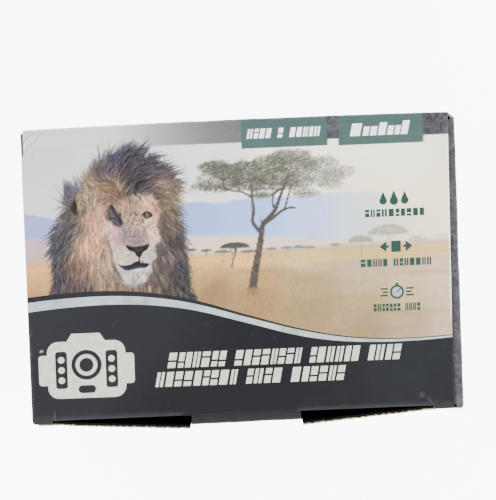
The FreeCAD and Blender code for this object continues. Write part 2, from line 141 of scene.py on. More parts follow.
CELL = 0.15
EDGE = (LID_RIGHT - LID_LEFT) / 2
LEFT, RIGHT, LOW, HIGH = -EDGE - 1, EDGE + 1, CORNER_FRONT - 1, HINGE + 1.5
COLUMNS, ROWS = round((RIGHT - LEFT) / CELL), round((HIGH - LOW) / CELL)
PX = (LEFT + (np.arange(COLUMNS) + 0.5) * CELL)[None, :] * np.ones((ROWS, 1))
PY = (LOW + (np.arange(ROWS) + 0.5) * CELL)[:, None] * np.ones((1, COLUMNS))
picture = np.zeros((ROWS, COLUMNS, 3))
camo_share = np.zeros((ROWS, COLUMNS))
EVERYWHERE = (slice(0, ROWS), slice(0, COLUMNS))

CHARCOAL = (56, 57, 62)
SWOOSH_TOP = ((-80, -6.6), (-62, -5.2), (-46, -5.0), (-32, -6.2), (-19.5, -8.6), (2.9, -15.6), (19.8, -20.8),
              (34, -24.0), (50, -25.8), (62, -26.0), (80, -25.2))
LINE_WIDTH = ((-80, 1.9), (-46, 1.8), (3, 0.9), (20, 0.6), (50, 0.35), (80, 0.3))
BAND_WIDTH = ((-80, 3.5), (-46, 3.1), (3, 2.1), (20, 2.1), (50, 1.0), (80, 0.6))


def window(x0, x1, y0, y1):
    """The part of the canvas between these limits."""
    i0, i1 = max(0, int((x0 - LEFT) / CELL)), min(COLUMNS, int((x1 - LEFT) / CELL) + 2)
    j0, j1 = max(0, int((y0 - LOW) / CELL)), min(ROWS, int((y1 - LOW) / CELL) + 2)
    return slice(j0, max(j0, j1)), slice(i0, max(i0, i1))


def lay(where, colour, cover):
    """Print a colour over the picture, as far as cover lets it through."""
    picture[where] += (np.asarray(colour, float) - picture[where]) * cover[..., None]


def outline_cover(where, line, soft, ragged=0.0, seed=0):
    """How far each cell lies inside a closed line, from 0 to 1 over a soft edge."""
    x, y = PX[where], PY[where]
    if ragged:
        x = x + ragged * lattice_noise(x, y, 1.6, seed)
        y = y + ragged * lattice_noise(x, y, 1.3, seed + 1)
    inside = np.zeros(x.shape, bool)
    nearest = np.full(x.shape, 1e9)
    ends = np.roll(line, -1, 0)
    for (ax, ay), (bx, by) in zip(line, ends):
        crosses = (ay > y) != (by > y)
        if ay != by:
            inside ^= crosses & (x < (bx - ax) * (y - ay) / (by - ay) + ax)
        dx, dy = bx - ax, by - ay
        t = np.clip(((x - ax) * dx + (y - ay) * dy) / max(dx * dx + dy * dy, 1e-9), 0, 1)
        nearest = np.minimum(nearest, (x - ax - t * dx)**2 + (y - ay - t * dy)**2)
    distance = np.sqrt(nearest) * np.where(inside, 1, -1)
    return smooth(distance, -soft, soft)


def fill(points, colour, soft=0.25, strength=1.0, ragged=0.0, seed=0):
    """Fill a smooth closed shape with one colour."""
    line = closed_curve(points)
    margin = soft + ragged + 0.5
    low, high = line.min(0) - margin, line.max(0) + margin
    where = window(low[0], high[0], low[1], high[1])
    lay(where, colour, strength * outline_cover(where, line, soft, ragged, seed))


def stroke(line, start_width, end_width, colour, strength=1.0):
    """A tapered brush line through a list of points."""
    line = np.asarray(line, float)
    widest = max(start_width, end_width) / 2 + CELL
    low, high = line.min(0) - widest, line.max(0) + widest
    where = window(low[0], high[0], low[1], high[1])
    x, y = PX[where], PY[where]
    if x.size == 0:
        return
    cover = np.zeros(x.shape)
    count = len(line) - 1
    for step in range(count):
        (ax, ay), (bx, by) = line[step], line[step + 1]
        dx, dy = bx - ax, by - ay
        t = np.clip(((x - ax) * dx + (y - ay) * dy) / max(dx * dx + dy * dy, 1e-9), 0, 1)
        gap = np.hypot(x - ax - t * dx, y - ay - t * dy)
        radius = (start_width + (end_width - start_width) * (step + t) / count) / 2
        cover = np.maximum(cover, np.clip((radius - gap) / CELL + 0.5, 0, 1))
    lay(where, colour, strength * cover)


def blend_of(anchors, x, y, reach):
    """A mix of the values at a few places, weighted by nearness."""
    places = np.array([anchor[:2] for anchor in anchors], float)
    values = np.array([anchor[2:] for anchor in anchors], float)
    x, y = np.asarray(x, float)[..., None], np.asarray(y, float)[..., None]
    weight = 1 / (((x - places[:, 0])**2 + (y - places[:, 1])**2) + reach**2)**2
    return (weight @ values) / weight.sum(-1)[..., None]


def paint_sky_and_hills():
    x, y = PX, PY
    sky = blend_of(((-76, 45, 212, 212, 214), (-76, 28, 216, 214, 216), (-35, 46, 216, 216, 217),
                    (-10, 40, 222, 222, 222), (20, 46, 230, 229, 226), (60, 40, 231, 228, 223),
                    (75, 20, 228, 225, 219), (50, 5, 222, 218, 211), (75, 45, 227, 226, 220)), x, y, 12)
    picture[EVERYWHERE] = sky
    ridge = through(((-80, 25.0), (-70, 22.6), (-62, 20.4), (-40, 20), (-20, 25.2), (-12, 25.5), (-5, 25.0),
                     (-2, 25.8), (4, 25.8), (28, 26.6), (45, 26.6), (60, 24), (80, 21)), x)
    ridge += 0.25 * lattice_noise(x, y * 0, 3.0, 5)
    blue = blend_of(((-76, 18, 187, 192, 214), (-18, 20, 187, 200, 221), (5, 19, 195, 206, 225),
                     (25, 20, 206, 213, 225), (42, 20, 216, 218, 222), (60, 18, 224, 222, 219)), x, y, 6)
    fade = 1 - smooth(x, 30, 72)
    foot = through(((-80, 14.5), (-60, 14), (-20, 13.2), (4, 12.4), (44, 9), (80, 8)), x)
    cover = smooth(ridge - y, -0.25, 0.35) * smooth(y - foot, -1.6, 1.6) * fade
    lay(EVERYWHERE, blue, cover)
    haze = blend_of(((-76, 10, 206, 200, 214), (-72, 6, 208, 190, 180), (-18, 11, 222, 212, 208),
                     (5, 10, 221, 212, 208), (30, 8, 220, 214, 210), (60, 6, 219, 213, 206)), x, y, 6)
    lay(EVERYWHERE, haze, smooth(foot + 1.2 - y, 0, 2.4))
    streaks = lattice_noise(x, y * 6, 9, 11) + 0.6 * lattice_noise(x, y * 9, 4, 12)
    lay(EVERYWHERE, (206, 196, 204), 0.35 * smooth(streaks, 0.2, 1.4) * smooth(y, 4,
                                                                               8) * (1 - smooth(y, 12, 16)))


def paint_grass():
    x, y = PX, PY
    grass = blend_of(((-74, 6, 210, 185, 170), (-74, 3, 215, 190, 160), (-74, -1, 205, 180, 150),
                      (-74, -6, 200, 170, 145), (-12, 6, 210, 190, 170), (-12, 3, 215, 195, 160),
                      (-12, -2, 200, 180, 145), (-10, -6, 180, 155, 130), (5, -9, 190, 165, 135),
                      (2, 3, 215, 195, 170), (5, -2, 200, 180, 150), (24, 3, 210, 200, 180),
                      (24, -6, 195, 180, 155), (24, -15, 190, 170, 145), (44, -2, 205, 195, 180),
                      (44, -12, 205, 190, 170), (44, -21, 190, 175, 155), (58, -10, 210, 200, 185),
                      (60, -22, 200, 185, 170), (74, -6, 215, 205, 200), (74, -20, 210, 200, 190)), x, y,
                     3.0)
    horizon = 6.8 + 0.02 * (x + 20) + 0.3 * lattice_noise(x, y * 0, 6, 21)
    lay(EVERYWHERE, grass, smooth(horizon - y, -1.5, 1.5))
    lay(EVERYWHERE, (222, 203, 164), 0.5 * smooth(y, 1.8, 3.6) * smooth(horizon - 0.6 - y, 0, 1.2))
    bands = lattice_noise(x, y * 8, 22, 23)
    lay(EVERYWHERE, (184, 154, 116), 0.2 * smooth(bands, 0.1, 0.9) * smooth(horizon - 3 - y, 0, 2))
    light = smooth(lattice_noise(x, y * 7, 18, 24), 0.1, 0.9)
    lay(EVERYWHERE, (226, 210, 178), 0.3 * light * smooth(horizon - y, 0, 2) * (1 - smooth(-y, 2, 9)))
    rng = np.random.default_rng(31)
    for _ in range(5200):
        bx, by = rng.uniform(-76, 76), rng.uniform(-26, 4)
        if by < float(through(SWOOSH_TOP, np.array(bx))) - 1.5:
            continue
        depth = (4 - by) / 30
        tall = rng.uniform(0.5, 1.0) * (0.5 + 2.4 * depth)
        lean = rng.normal(0, 0.25) * tall
        shade = blend_of(((-76, 0, 184, 152, 118), (0, -5, 172, 146, 116), (40, -15, 178, 160, 138),
                          (75, -15, 192, 182, 170)), bx, by, 8) + rng.normal(0, 15)
        stroke(((bx, by), (bx + lean, by + tall)), 0.22, 0.1, shade,
               0.24 * (1 - 0.5 * float(smooth(bx, 20, 70))))


def paint_far_tree(x, top, foot, width, height, shade, strength, seed):
    """An umbrella-shaped acacia in the distance."""
    rng = np.random.default_rng(seed)
    lean = rng.uniform(-0.6, 0.6)
    stroke(open_curve(((x + lean, foot), (x + 0.2 * lean, (foot + top) / 2), (x, top - 0.2))),
           0.10 * width**0.6, 0.06 * width**0.6, shade, strength)
    for side in (-1, 1):
        stroke(((x, top - 0.55 * (top - foot) * 0.5), (x + side * 0.28 * width, top)), 0.18, 0.12, shade,
               strength * 0.7)
    for _ in range(int(46 * width * height**0.5)):
        angle, reach = rng.uniform(0, math.pi), rng.uniform(0, 1)**0.5
        px = x + math.cos(angle) * reach * width / 2
        py = top - 0.2 + math.sin(angle) * reach * height + rng.normal(0, 0.08)
        tone = np.array(shade) + rng.normal(0, 9)
        stroke(((px, py), (px + rng.normal(0, 0.25), py + rng.normal(0, 0.06))), 0.3, 0.2, tone,
               strength * 0.75)


def paint_far_trees():
    trees = ((-16.6, 8.6, 6.6, 3.0, 0.5, (128, 128, 128), 0.9),
             (-11.5, 8.1, 6.2, 3.6, 0.6, (132, 134, 130), 0.9),
             (-5.8, 7.4, 3.6, 5.6, 0.8, (150, 148, 138), 0.85),
             (3.4, 7.2, 4.6, 4.8, 0.6, (150, 146, 138), 0.8),
             (11.3, 7.8, 4.4, 3.8, 0.6, (158, 156, 152), 0.8),
             (17.0, 8.0, 5.0, 3.6, 0.5, (158, 158, 158), 0.8),
             (21.3, 7.9, 7.2, 3.8, 0.9, (160, 166, 178), 0.8),
             (24.7, 7.7, 3.8, 4.6, 0.8, (172, 170, 168), 0.75),
             (34.2, 8.3, 5.6, 4.0, 0.7, (176, 174, 174), 0.75),
             (43.2, 9.2, 3.4, 8.4, 2.2, (186, 182, 176), 0.8),
             (53.0, 11.4, 5.0, 14.0, 3.6, (196, 193, 187), 0.75),
             (63.0, 9.0, 5.5, 6.0, 1.6, (208, 205, 199), 0.6))
    for number, (x, top, foot, width, height, shade, strength) in enumerate(trees):
        paint_far_tree(x, top, foot, width, height, shade, strength, 60 + number)
    stroke(open_curve(((-2.6, 2.0), (-2.2, 4.4), (-1.2, 6.6), (-1.0, 8.8))), 0.5, 0.3, (112, 104, 98))
    stroke(((-2.0, 6.0), (-3.2, 8.6)), 0.3, 0.25, (118, 110, 104))
    paint_far_tree(-1.4, 8.9, 6.5, 10.4, 1.9, (108, 112, 106), 1.0, 90)


def paint_acacia():
    """The tall tree: trunk and limbs, then a flat crown of leaf clusters that fades to the right."""
    bark, pale_bark = (118, 108, 103), (156, 148, 142)
    limbs = (
        (((4.6, -6.6), (5.2, -2.0), (6.4, 4.0), (7.7, 10.4), (8.3, 14.5)), 3.1, 1.9),
        (((8.2, 14.0), (8.9, 16.8), (10.6, 18.6), (13.2, 21.6), (14.6, 25.0), (16.2, 29.0), (18.0, 33.4)),
         2.0, 0.7),
        (((8.0, 13.6), (6.6, 15.4), (5.2, 17.8), (5.6, 21.6), (5.4, 24.6), (5.2, 27.4), (5.0, 31.0)), 1.5,
         0.6),
        (((9.4, 16.8), (12.4, 18.8), (15.2, 21.0), (16.9, 21.8)), 1.0, 0.8),
        (((16.6, 21.7), (18.4, 22.2), (20.0, 22.1)), 0.6, 0.8),
        (((16.6, 21.7), (17.4, 24.4), (18.6, 28.4), (19.8, 31.4)), 0.7, 0.4),
        (((13.0, 21.8), (12.4, 24.4), (12.8, 27.0), (14.9, 28.6), (16.0, 29.0)), 0.8, 0.5),
        (((5.3, 26.2), (3.6, 27.4), (1.2, 28.6), (-1.6, 29.0), (-3.9, 29.8), (-6.5, 30.2)), 0.8, 0.35),
        (((-3.9, 29.7), (-4.8, 32.0), (-4.6, 35.0)), 0.55, 0.3),
        (((1.0, 28.7), (-0.6, 31.6), (-2.0, 35.0)), 0.4, 0.25),
        (((6.9, 27.0), (7.0, 30.0), (6.2, 33.4)), 0.5, 0.3),
        (((8.6, 16.6), (8.0, 18.2), (8.1, 19.4)), 0.5, 0.25),
        (((7.0, 9.6), (6.1, 10.2)), 0.4, 0.2), (((8.4, 10.6), (9.4, 11.0)), 0.35, 0.15),
    )
    for points, start, end in limbs:
        stroke(open_curve(points), start, end, bark)
    rng = np.random.default_rng(41)
    stroke(open_curve(((4.6, -6.6), (5.1, -2.6), (5.9, 1.6))), 2.9, 1.6, (104, 92, 88), 0.6)
    for _ in range(260):
        t = rng.uniform(0, 1)
        x, y = 4.6 + 3.7 * t + rng.uniform(-1.25, 1.25) * (1 - 0.4 * t), -6.2 + 20.5 * t
        tone = np.array(pale_bark if rng.uniform() < 0.5 else (102, 92, 86))
        stroke(((x, y), (x + 0.25, y + rng.uniform(0.8, 2.0))), 0.2, 0.12, tone, 0.5)
    for _ in range(90):
        x = rng.uniform(2.6, 6.6)
        stroke(((x, rng.uniform(-9.0, -7.0)), (x + rng.normal(0, 0.3), rng.uniform(-6.4, -5.4))), 0.3, 0.12,
               np.array((176, 152, 124)) + rng.normal(0, 12), 0.6)
    clusters = ((-8.0, 37.6, 5.6, 2.4, 1.0), (-4.0, 36.0, 6.0, 2.6, 0.9), (-12.2, 31.0, 4.4, 1.5, 0.55),
                (-6.6, 30.2, 5.4, 1.6, 0.7), (-9.5, 33.6, 4.5, 2.2, 0.4), (2.6, 36.6, 6.2, 2.9, 0.85),
                (4.2, 32.2, 6.4, 3.2, 0.75), (8.4, 26.9, 4.0, 1.1, 0.9), (-1.5, 32.8, 4.6, 2.8, 0.7),
                (11.0, 37.6, 6.4, 3.2, 0.8), (14.6, 33.2, 6.4, 3.4, 0.7), (9.4, 31.6, 5.2, 3.0, 0.6),
                (18.6, 40.2, 8.2, 2.6, 0.75), (21.6, 36.6, 7.0, 3.2, 0.75), (21.0, 31.2, 6.0, 2.8, 0.6),
                (24.2, 27.2, 5.2, 1.6, 0.5), (29.6, 37.4, 6.4, 2.8, 0.6), (31.4, 32.4, 7.0, 2.6, 0.65),
                (36.6, 34.4, 5.4, 2.0, 0.5), (33.0, 29.6, 5.0, 1.5, 0.35))
    for number, (cx, cy, rx, ry, density) in enumerate(clusters):
        fade = 1 - 0.5 * float(smooth(cx, 10, 42))
        blob = [(cx + rx * math.cos(a), cy + ry * math.sin(a)) for a in np.linspace(0, 2 * math.pi, 9)[:-1]]
        fill(blob, (158, 156, 146), 1.1, 0.5 * density * fade, 0.9, 130 + number)
        for _ in range(int(38 * rx * ry * density)):
            angle, reach = rng.uniform(0, 2 * math.pi), rng.uniform(0, 1)**0.6
            x, y = cx + rx * reach * math.cos(angle), cy + ry * reach * math.sin(angle)
            fade = 1 - 0.72 * float(smooth(x, 12, 42))
            tone = np.array((116, 116, 104)) + rng.normal(0, 15) + (1 - fade) * 46
            turn = rng.uniform(0, math.pi)
            length = rng.uniform(0.1, 0.5)
            end = (x + length * math.cos(turn), y + 0.6 * length * math.sin(turn))
            stroke(((x, y), end), 0.26, 0.14, tone, 0.66 * (0.35 + 0.65 * fade))
    joints = ((-4.2, 33.0), (-6.0, 30.4), (0.0, 31.0), (5.4, 28.4), (6.4, 32.4), (12.8, 27.4), (16.4, 29.6),
              (18.2, 33.0), (19.0, 29.6), (14.8, 28.6), (21.5, 31.0))
    for x0, y0 in joints:
        for _ in range(10):
            angle, length = rng.uniform(0.1, math.pi - 0.1), rng.uniform(1.6, 4.4)
            mid = (x0 + 0.5 * length * math.cos(angle), y0 + 0.42 * length * math.sin(angle))
            end = (x0 + length * math.cos(angle + rng.normal(0, 0.3)), y0 + 0.8 * length * math.sin(angle))
            fade = 1 - 0.6 * float(smooth(x0, 12, 30))
            stroke(open_curve(((x0, y0), mid, end), 3), 0.28, 0.12, np.array(bark) + 40 * (1 - fade),
                   0.6 * fade)


MANE = ((-64.8, -11.0), (-65.4, 1.4), (-65.6, 8.3), (-66.0, 12.0), (-65.0, 17.0), (-62.6, 22.0),
        (-60.4, 25.6), (-59.6, 29.4), (-57.6, 31.2), (-54.6, 32.2), (-52.6, 35.0), (-50.6, 38.4),
        (-47.6, 41.0), (-43.6, 43.2), (-38.8, 45.8), (-34.0, 44.0), (-28.6, 41.2), (-24.0, 37.8),
        (-21.4, 33.2), (-21.8, 29.1), (-21.4, 24.5), (-20.6, 17.7), (-19.4, 10.8), (-18.8, 4.0),
        (-18.4, -4.4), (-19.6, -12.0))
HAIR_FLOW = ((-41.8, 40.2, 0.55, 0.83), (-34.2, 41.8, 0.85, 0.5), (-26.7, 37.7, 1.0, -0.05),
             (-25.0, 31.9, 0.95, -0.3), (-49.3, 40.6, 0.15, 1.0), (-56.0, 34.5, -0.35, 0.95),
             (-23.4, 22.4, 0.65, -0.75), (-23.8, 11.0, 0.45, -0.9),
             (-22.2, -0.4, 0.35, -0.93), (-35.5, -4.6, 0.05, -1.0), (-43.0, -1.5, 0.15, -1.0),
             (-52.1, 12.2, -0.05, -1.0), (-51.0, 24.0, 0.3, -0.95), (-59.9, 3.0, -0.1, -1.0),
             (-63.4, 12.7, -0.5, -0.85), (-61.3, 20.2, -0.75, -0.65),
             (-58.0, 29.6, -0.5, 0.85), (-46.5, 31.5, -0.95, 0.25), (-38.0, 33.0, 0.5, 0.85),
             (-31.0, 34.0, 0.95, 0.2))
HAIR_TONE = ((-39, 40, 90, 85, 95), (-44, 43, 110, 105, 120), (-30, 40, 105, 100, 110),
             (-24, 37, 110, 105, 110), (-27, 33, 160, 140, 135), (-36, 34, 85, 80, 85),
             (-31, 30, 115, 105, 105), (-49, 41, 120, 120, 120), (-46, 36, 130, 115, 120),
             (-45, 32, 165, 140, 125), (-51, 33, 170, 150, 135), (-52, 24, 205, 175, 160),
             (-54, 12, 205, 180, 160), (-49, 4, 185, 165, 150), (-47, -3, 165, 145, 135),
             (-58, 4, 145, 120, 115), (-57, -3, 115, 100, 100), (-63, 13, 100, 100, 105),
             (-64, 18, 120, 110, 120), (-64, 2, 95, 90, 100), (-60, 22, 110, 105, 105),
             (-59, 32, 130, 125, 140), (-25, 27, 150, 135, 120), (-24, 19, 130, 115, 110),
             (-22, 12, 105, 100, 100), (-25, 7, 130, 115, 115), (-21, 2, 85, 85, 90),
             (-24, -4, 115, 105, 100), (-21, -9, 80, 80, 90), (-34, -6, 145, 125, 120),
             (-29, 0, 125, 115, 110), (-40, -6, 145, 130, 120))


def hair(rng, count, length, width, contrast, strength, inside):
    """Locks that start anywhere inside the mane and follow its flow."""
    line = closed_curve(inside)
    low, high = line.min(0), line.max(0)
    starts = rng.uniform(low, high, (count, 2))
    where = window(low[0], high[0], low[1], high[1])
    cover = outline_cover(where, line, 0.4)
    for x, y in starts:
        column = min(cover.shape[1] - 1, int((x - LEFT) / CELL) - where[1].start)
        row = min(cover.shape[0] - 1, int((y - LOW) / CELL) - where[0].start)
        if cover[row, column] < 0.5:
            continue
        shade = blend_of(HAIR_TONE, x, y, 1.5) + rng.normal(0, contrast) + rng.normal(0, 3, 3)
        points = [(x, y)]
        bend = rng.normal(0, 0.22)
        reach = length * rng.uniform(0.55, 1.3)
        for _ in range(4):
            flow = unit(blend_of(HAIR_FLOW, x, y, 2.0))
            flow = flow + bend * np.array((-flow[1], flow[0]))
            x, y = x + flow[0] * reach / 4, y + flow[1] * reach / 4
            points.append((x, y))
        stroke(points, width * rng.uniform(0.7, 1.3), 0.1, shade, strength)


FACE = ((-45.2, 25.2), (-41.0, 27.4), (-36.6, 29.0), (-32.0, 29.0), (-28.4, 27.0), (-27.2, 22.6),
        (-28.4, 18.4), (-27.3, 13.2), (-29.1, 10.6), (-29.2, 7.1), (-31.1, 4.8), (-31.4, 1.2),
        (-34.0, -1.4), (-37.2, -2.9), (-40.6, -2.0), (-43.0, 1.4), (-45.0, 5.8), (-46.6, 9.0),
        (-47.9, 13.5), (-47.9, 20.0))
FACE_TONE = ((-38, 26, 200, 175, 165), (-33, 27, 210, 190, 180), (-30, 24, 210, 185, 170),
             (-29, 20, 215, 190, 180), (-40, 24, 195, 170, 160), (-38, 21, 205, 185, 175),
             (-36, 18, 215, 195, 190), (-38, 14, 185, 170, 170), (-34, 14, 190, 170, 175),
             (-41, 14, 180, 170, 175), (-44, 16, 215, 190, 190), (-46, 12, 215, 195, 190),
             (-42, 11, 205, 190, 185), (-31, 16, 220, 205, 200), (-30, 12, 215, 200, 190),
             (-36, 11, 180, 160, 165), (-40, 8, 225, 215, 215), (-43, 7, 215, 205, 190),
             (-33, 8, 220, 220, 215), (-30, 9, 210, 200, 195), (-38, 1, 225, 220, 225),
             (-34, 1, 220, 220, 225), (-41, 1, 205, 195, 205), (-37, -2, 215, 210, 220))
FACE_FLOW = ((-36.5, 22.0, 0.05, 1.0), (-33.0, 27.0, 0.3, 0.95), (-41.0, 25.0, -0.3, 0.95),
             (-29.5, 23.0, 0.75, 0.6), (-44.5, 17.0, -0.7, -0.6), (-29.2, 16.0, 0.8, -0.55),
             (-36.5, 14.5, 0.0, 1.0), (-42.5, 11.0, -0.6, -0.75),
             (-40.0, 7.5, -0.75, -0.45), (-32.4, 8.0, 0.8, -0.4), (-37.0, 0.0, 0.0, -1.0),
             (-41.0, 1.0, -0.5, -0.85), (-33.4, 0.6, 0.5, -0.85))


def paint_face(rng):
    """Muzzle, nose, eyes and brow of an adult lion, three-quarter view."""
    line = closed_curve(FACE)
    low, high = line.min(0) - 2, line.max(0) + 2
    where = window(low[0], high[0], low[1], high[1])
    tone = blend_of(FACE_TONE, PX[where], PY[where], 1.1)
    lay(where, tone, outline_cover(where, line, 1.0, 0.5, 71))
    for _ in range(3000):
        x, y = rng.uniform(low[0], high[0]), rng.uniform(low[1], high[1])
        flow = unit(blend_of(FACE_FLOW, x, y, 1.4)) * rng.uniform(0.5, 1.3)
        end = np.array((x, y)) + flow
        column, row = int((x - LEFT) / CELL), int((y - LOW) / CELL)
        base = blend_of(FACE_TONE, x, y, 1.1)
        if abs(picture[row, column] - base).max() > 30:
            continue
        stroke(((x, y), end), 0.26, 0.12, base + rng.normal(-3, 21), 0.55)
    for _ in range(420):
        x, y = rng.normal(-36.6, 2.9), rng.normal(19.0, 5.4)
        if 11 < y < 28.5 and abs(x + 37) < 7.5:
            stroke(((x, y), (x + rng.normal(0, 0.25), y + rng.uniform(0.2, 0.8))), 0.3, 0.12,
                   np.array((120, 108, 104)) + rng.normal(0, 14), 0.5)
    # whisker pads and chin
    fill(((-45.0, 7.6), (-42.0, 9.6), (-39.2, 10.0), (-36.6, 8.4), (-35.8, 6.2), (-37.0, 4.8), (-40.2, 4.4),
          (-43.6, 5.2)), (206, 202, 198), 0.7, 0.9)
    fill(((-35.0, 6.6), (-33.6, 8.6), (-31.4, 10.2), (-29.6, 9.0), (-29.7, 6.8), (-31.6, 5.2), (-34.2, 5.2)),
         (204, 200, 194), 0.6, 0.85)
    fill(((-42.4, 2.8), (-37.0, 1.9), (-31.6, 3.0), (-31.6, 0.8), (-33.8, -1.4), (-37.2, -2.6),
          (-40.4, -1.6), (-42.4, 0.6)),
         (204, 200, 199), 0.8, 0.95, 0.5, 75)
    for _ in range(170):
        x = rng.uniform(-42, -32.4)
        drop_to = rng.uniform(-1.8, -0.4) - 2.6 * (1 - ((x + 37.2) / 4.8)**2)
        stroke(((x, rng.uniform(-1.2, 1.5)), (x + 0.12 * (x + 37.2) + rng.normal(0, 0.3), drop_to)), 0.34,
               0.1,
               np.array((198, 194, 192)) + rng.normal(0, 26), 0.65)
    for _ in range(150):
        x, y = rng.uniform(-45.0, -30.0), rng.uniform(5.0, 9.6)
        side = -1 if x < -35.5 else 1
        stroke(((x, y), (x + side * rng.uniform(0.5, 1.4), y - rng.uniform(0.2, 0.8))), 0.24, 0.1,
               np.array((186, 178, 168)) + rng.normal(0, 26), 0.5)
    for y, x0, x1 in ((8.6, -43.6, -39.6), (7.6, -44.0, -38.8), (6.6, -43.6, -38.4)):
        stroke(open_curve(((x0, y - 0.3), ((x0 + x1) / 2, y), (x1, y + 0.2))), 0.22, 0.12, (166, 150, 130),
               0.6)
    # mouth
    fill(((-43.4, 4.9), (-41.6, 4.0), (-38.6, 4.2), (-36.6, 5.2), (-35.0, 5.4), (-33.6, 4.6), (-31.9, 4.3),
          (-33.0, 3.0), (-36.4, 2.7), (-39.8, 2.1), (-41.8, 3.2)), (58, 58, 66), 0.22)
    stroke(open_curve(((-41.0, 3.3), (-39.0, 2.6), (-36.8, 3.2), (-34.2, 3.2))), 0.34, 0.3, (112, 114, 136),
           0.8)
    stroke(((-35.0, 5.0), (-34.0, 4.9)), 0.75, 0.5, (196, 160, 158), 0.9)
    stroke(open_curve(((-42.0, 1.7), (-39.0, 1.2), (-35.0, 1.6))), 0.3, 0.2, (176, 152, 148), 0.5)
    # nose
    fill(((-40.2, 11.2), (-38.6, 10.7), (-36.2, 10.5), (-33.8, 10.8), (-31.7, 11.3), (-32.3, 9.7),
          (-33.7, 8.6), (-34.7, 7.0), (-36.1, 7.0), (-37.0, 8.5), (-38.9, 9.3)), (58, 54, 58), 0.25, 1.0,
          0.2, 76)
    fill(((-37.2, 10.0), (-35.6, 9.8), (-34.0, 10.1), (-34.8, 8.9), (-35.9, 8.6)), (104, 92, 90), 0.3, 0.6)
    stroke(open_curve(((-39.7, 10.6), (-38.8, 9.8), (-37.8, 9.4))), 0.5, 0.3, (40, 38, 44))
    stroke(open_curve(((-32.1, 10.7), (-32.8, 9.7), (-33.6, 9.2))), 0.5, 0.3, (40, 38, 44))
    stroke(((-35.4, 7.4), (-35.3, 5.0)), 0.7, 0.5, (52, 50, 56))
    stroke(open_curve(((-39.8, 11.0), (-40.4, 11.7), (-40.4, 12.6))), 0.3, 0.15, (120, 108, 106), 0.6)
    # far eye, in the shade of the brow
    fill(((-44.6, 25.6), (-42.7, 23.6), (-41.2, 21.4), (-40.5, 19.2), (-41.6, 17.8), (-44.2, 18.9),
          (-46.8, 21.0), (-47.0, 23.8), (-45.8, 24.6)), (78, 74, 86), 0.6, 0.92, 0.5, 74)
    stroke(open_curve(((-44.6, 25.4), (-43.0, 22.6), (-41.3, 19.4))), 0.75, 0.5, (50, 50, 64))
    stroke(open_curve(((-46.4, 22.0), (-44.4, 20.2), (-43.0, 18.8))), 0.4, 0.3, (70, 68, 80), 0.9)
    stroke(((-44.6, 21.9), (-43.9, 21.6)), 0.55, 0.4, (150, 150, 164), 0.8)
    stroke(open_curve(((-44.6, 20.6), (-43.2, 19.6), (-42.0, 18.4))), 0.4, 0.25, (160, 156, 160), 0.85)
    # near eye
    fill(((-33.5, 22.3), (-32.0, 23.0), (-30.4, 22.2), (-30.2, 21.2), (-31.4, 20.6), (-33.0, 20.6)),
         (62, 56, 58), 0.25, 0.95)
    fill(((-32.6, 21.9), (-31.9, 22.2), (-31.3, 21.7), (-31.6, 21.0), (-32.4, 21.0)), (176, 152, 116), 0.15)
    stroke(((-32.0, 21.6), (-31.8, 21.5)), 0.5, 0.4, (40, 36, 40))
    stroke(((-32.4, 22.0), (-32.3, 22.0)), 0.28, 0.28, (230, 228, 224))
    fill(((-33.2, 19.9), (-31.6, 20.3), (-30.3, 20.9), (-30.6, 19.5), (-32.0, 18.7), (-33.0, 19.0)),
         (214, 206, 196), 0.4, 0.9)
    stroke(open_curve(((-33.7, 22.2), (-33.8, 20.6), (-33.2, 18.8))), 0.35, 0.2, (72, 66, 72), 0.8)
    stroke(open_curve(((-32.6, 18.0), (-31.6, 17.6), (-30.8, 18.2))), 0.28, 0.15, (128, 114, 112), 0.7)
    # brow, bridge and cheeks
    for points, width, shade, strength in (
            (((-38.2, 27.0), (-38.0, 24.6), (-37.2, 22.4)), 0.7, (150, 130, 112), 0.5),
            (((-40.8, 17.6), (-40.0, 14.8), (-40.6, 12.4)), 1.1, (142, 132, 132), 0.5),
            (((-33.4, 17.4), (-32.6, 14.6), (-32.0, 11.8)), 0.9, (164, 150, 140), 0.45),
            (((-37.8, 12.6), (-36.0, 12.0), (-33.8, 12.6)), 1.2, (150, 136, 134), 0.4),
            (((-46.4, 12.6), (-45.4, 9.4), (-44.8, 6.0)), 1.3, (120, 108, 98), 0.55),
            (((-44.6, 5.0), (-43.4, 1.8), (-41.4, -1.6)), 1.2, (112, 100, 92), 0.55),
            (((-29.0, 10.4), (-28.6, 7.0), (-30.6, 4.0)), 1.0, (104, 96, 88), 0.55)):
        stroke(open_curve(points), width, width * 0.5, shade, strength)
    for _ in range(90):
        x, y = rng.uniform(-44.6, -38.4), rng.uniform(5.4, 9.4)
        stroke(((x, y), (x - rng.uniform(1.5, 4.5), y - rng.uniform(0.6, 2.4))), 0.12, 0.08,
               (226, 220, 208), 0.25)


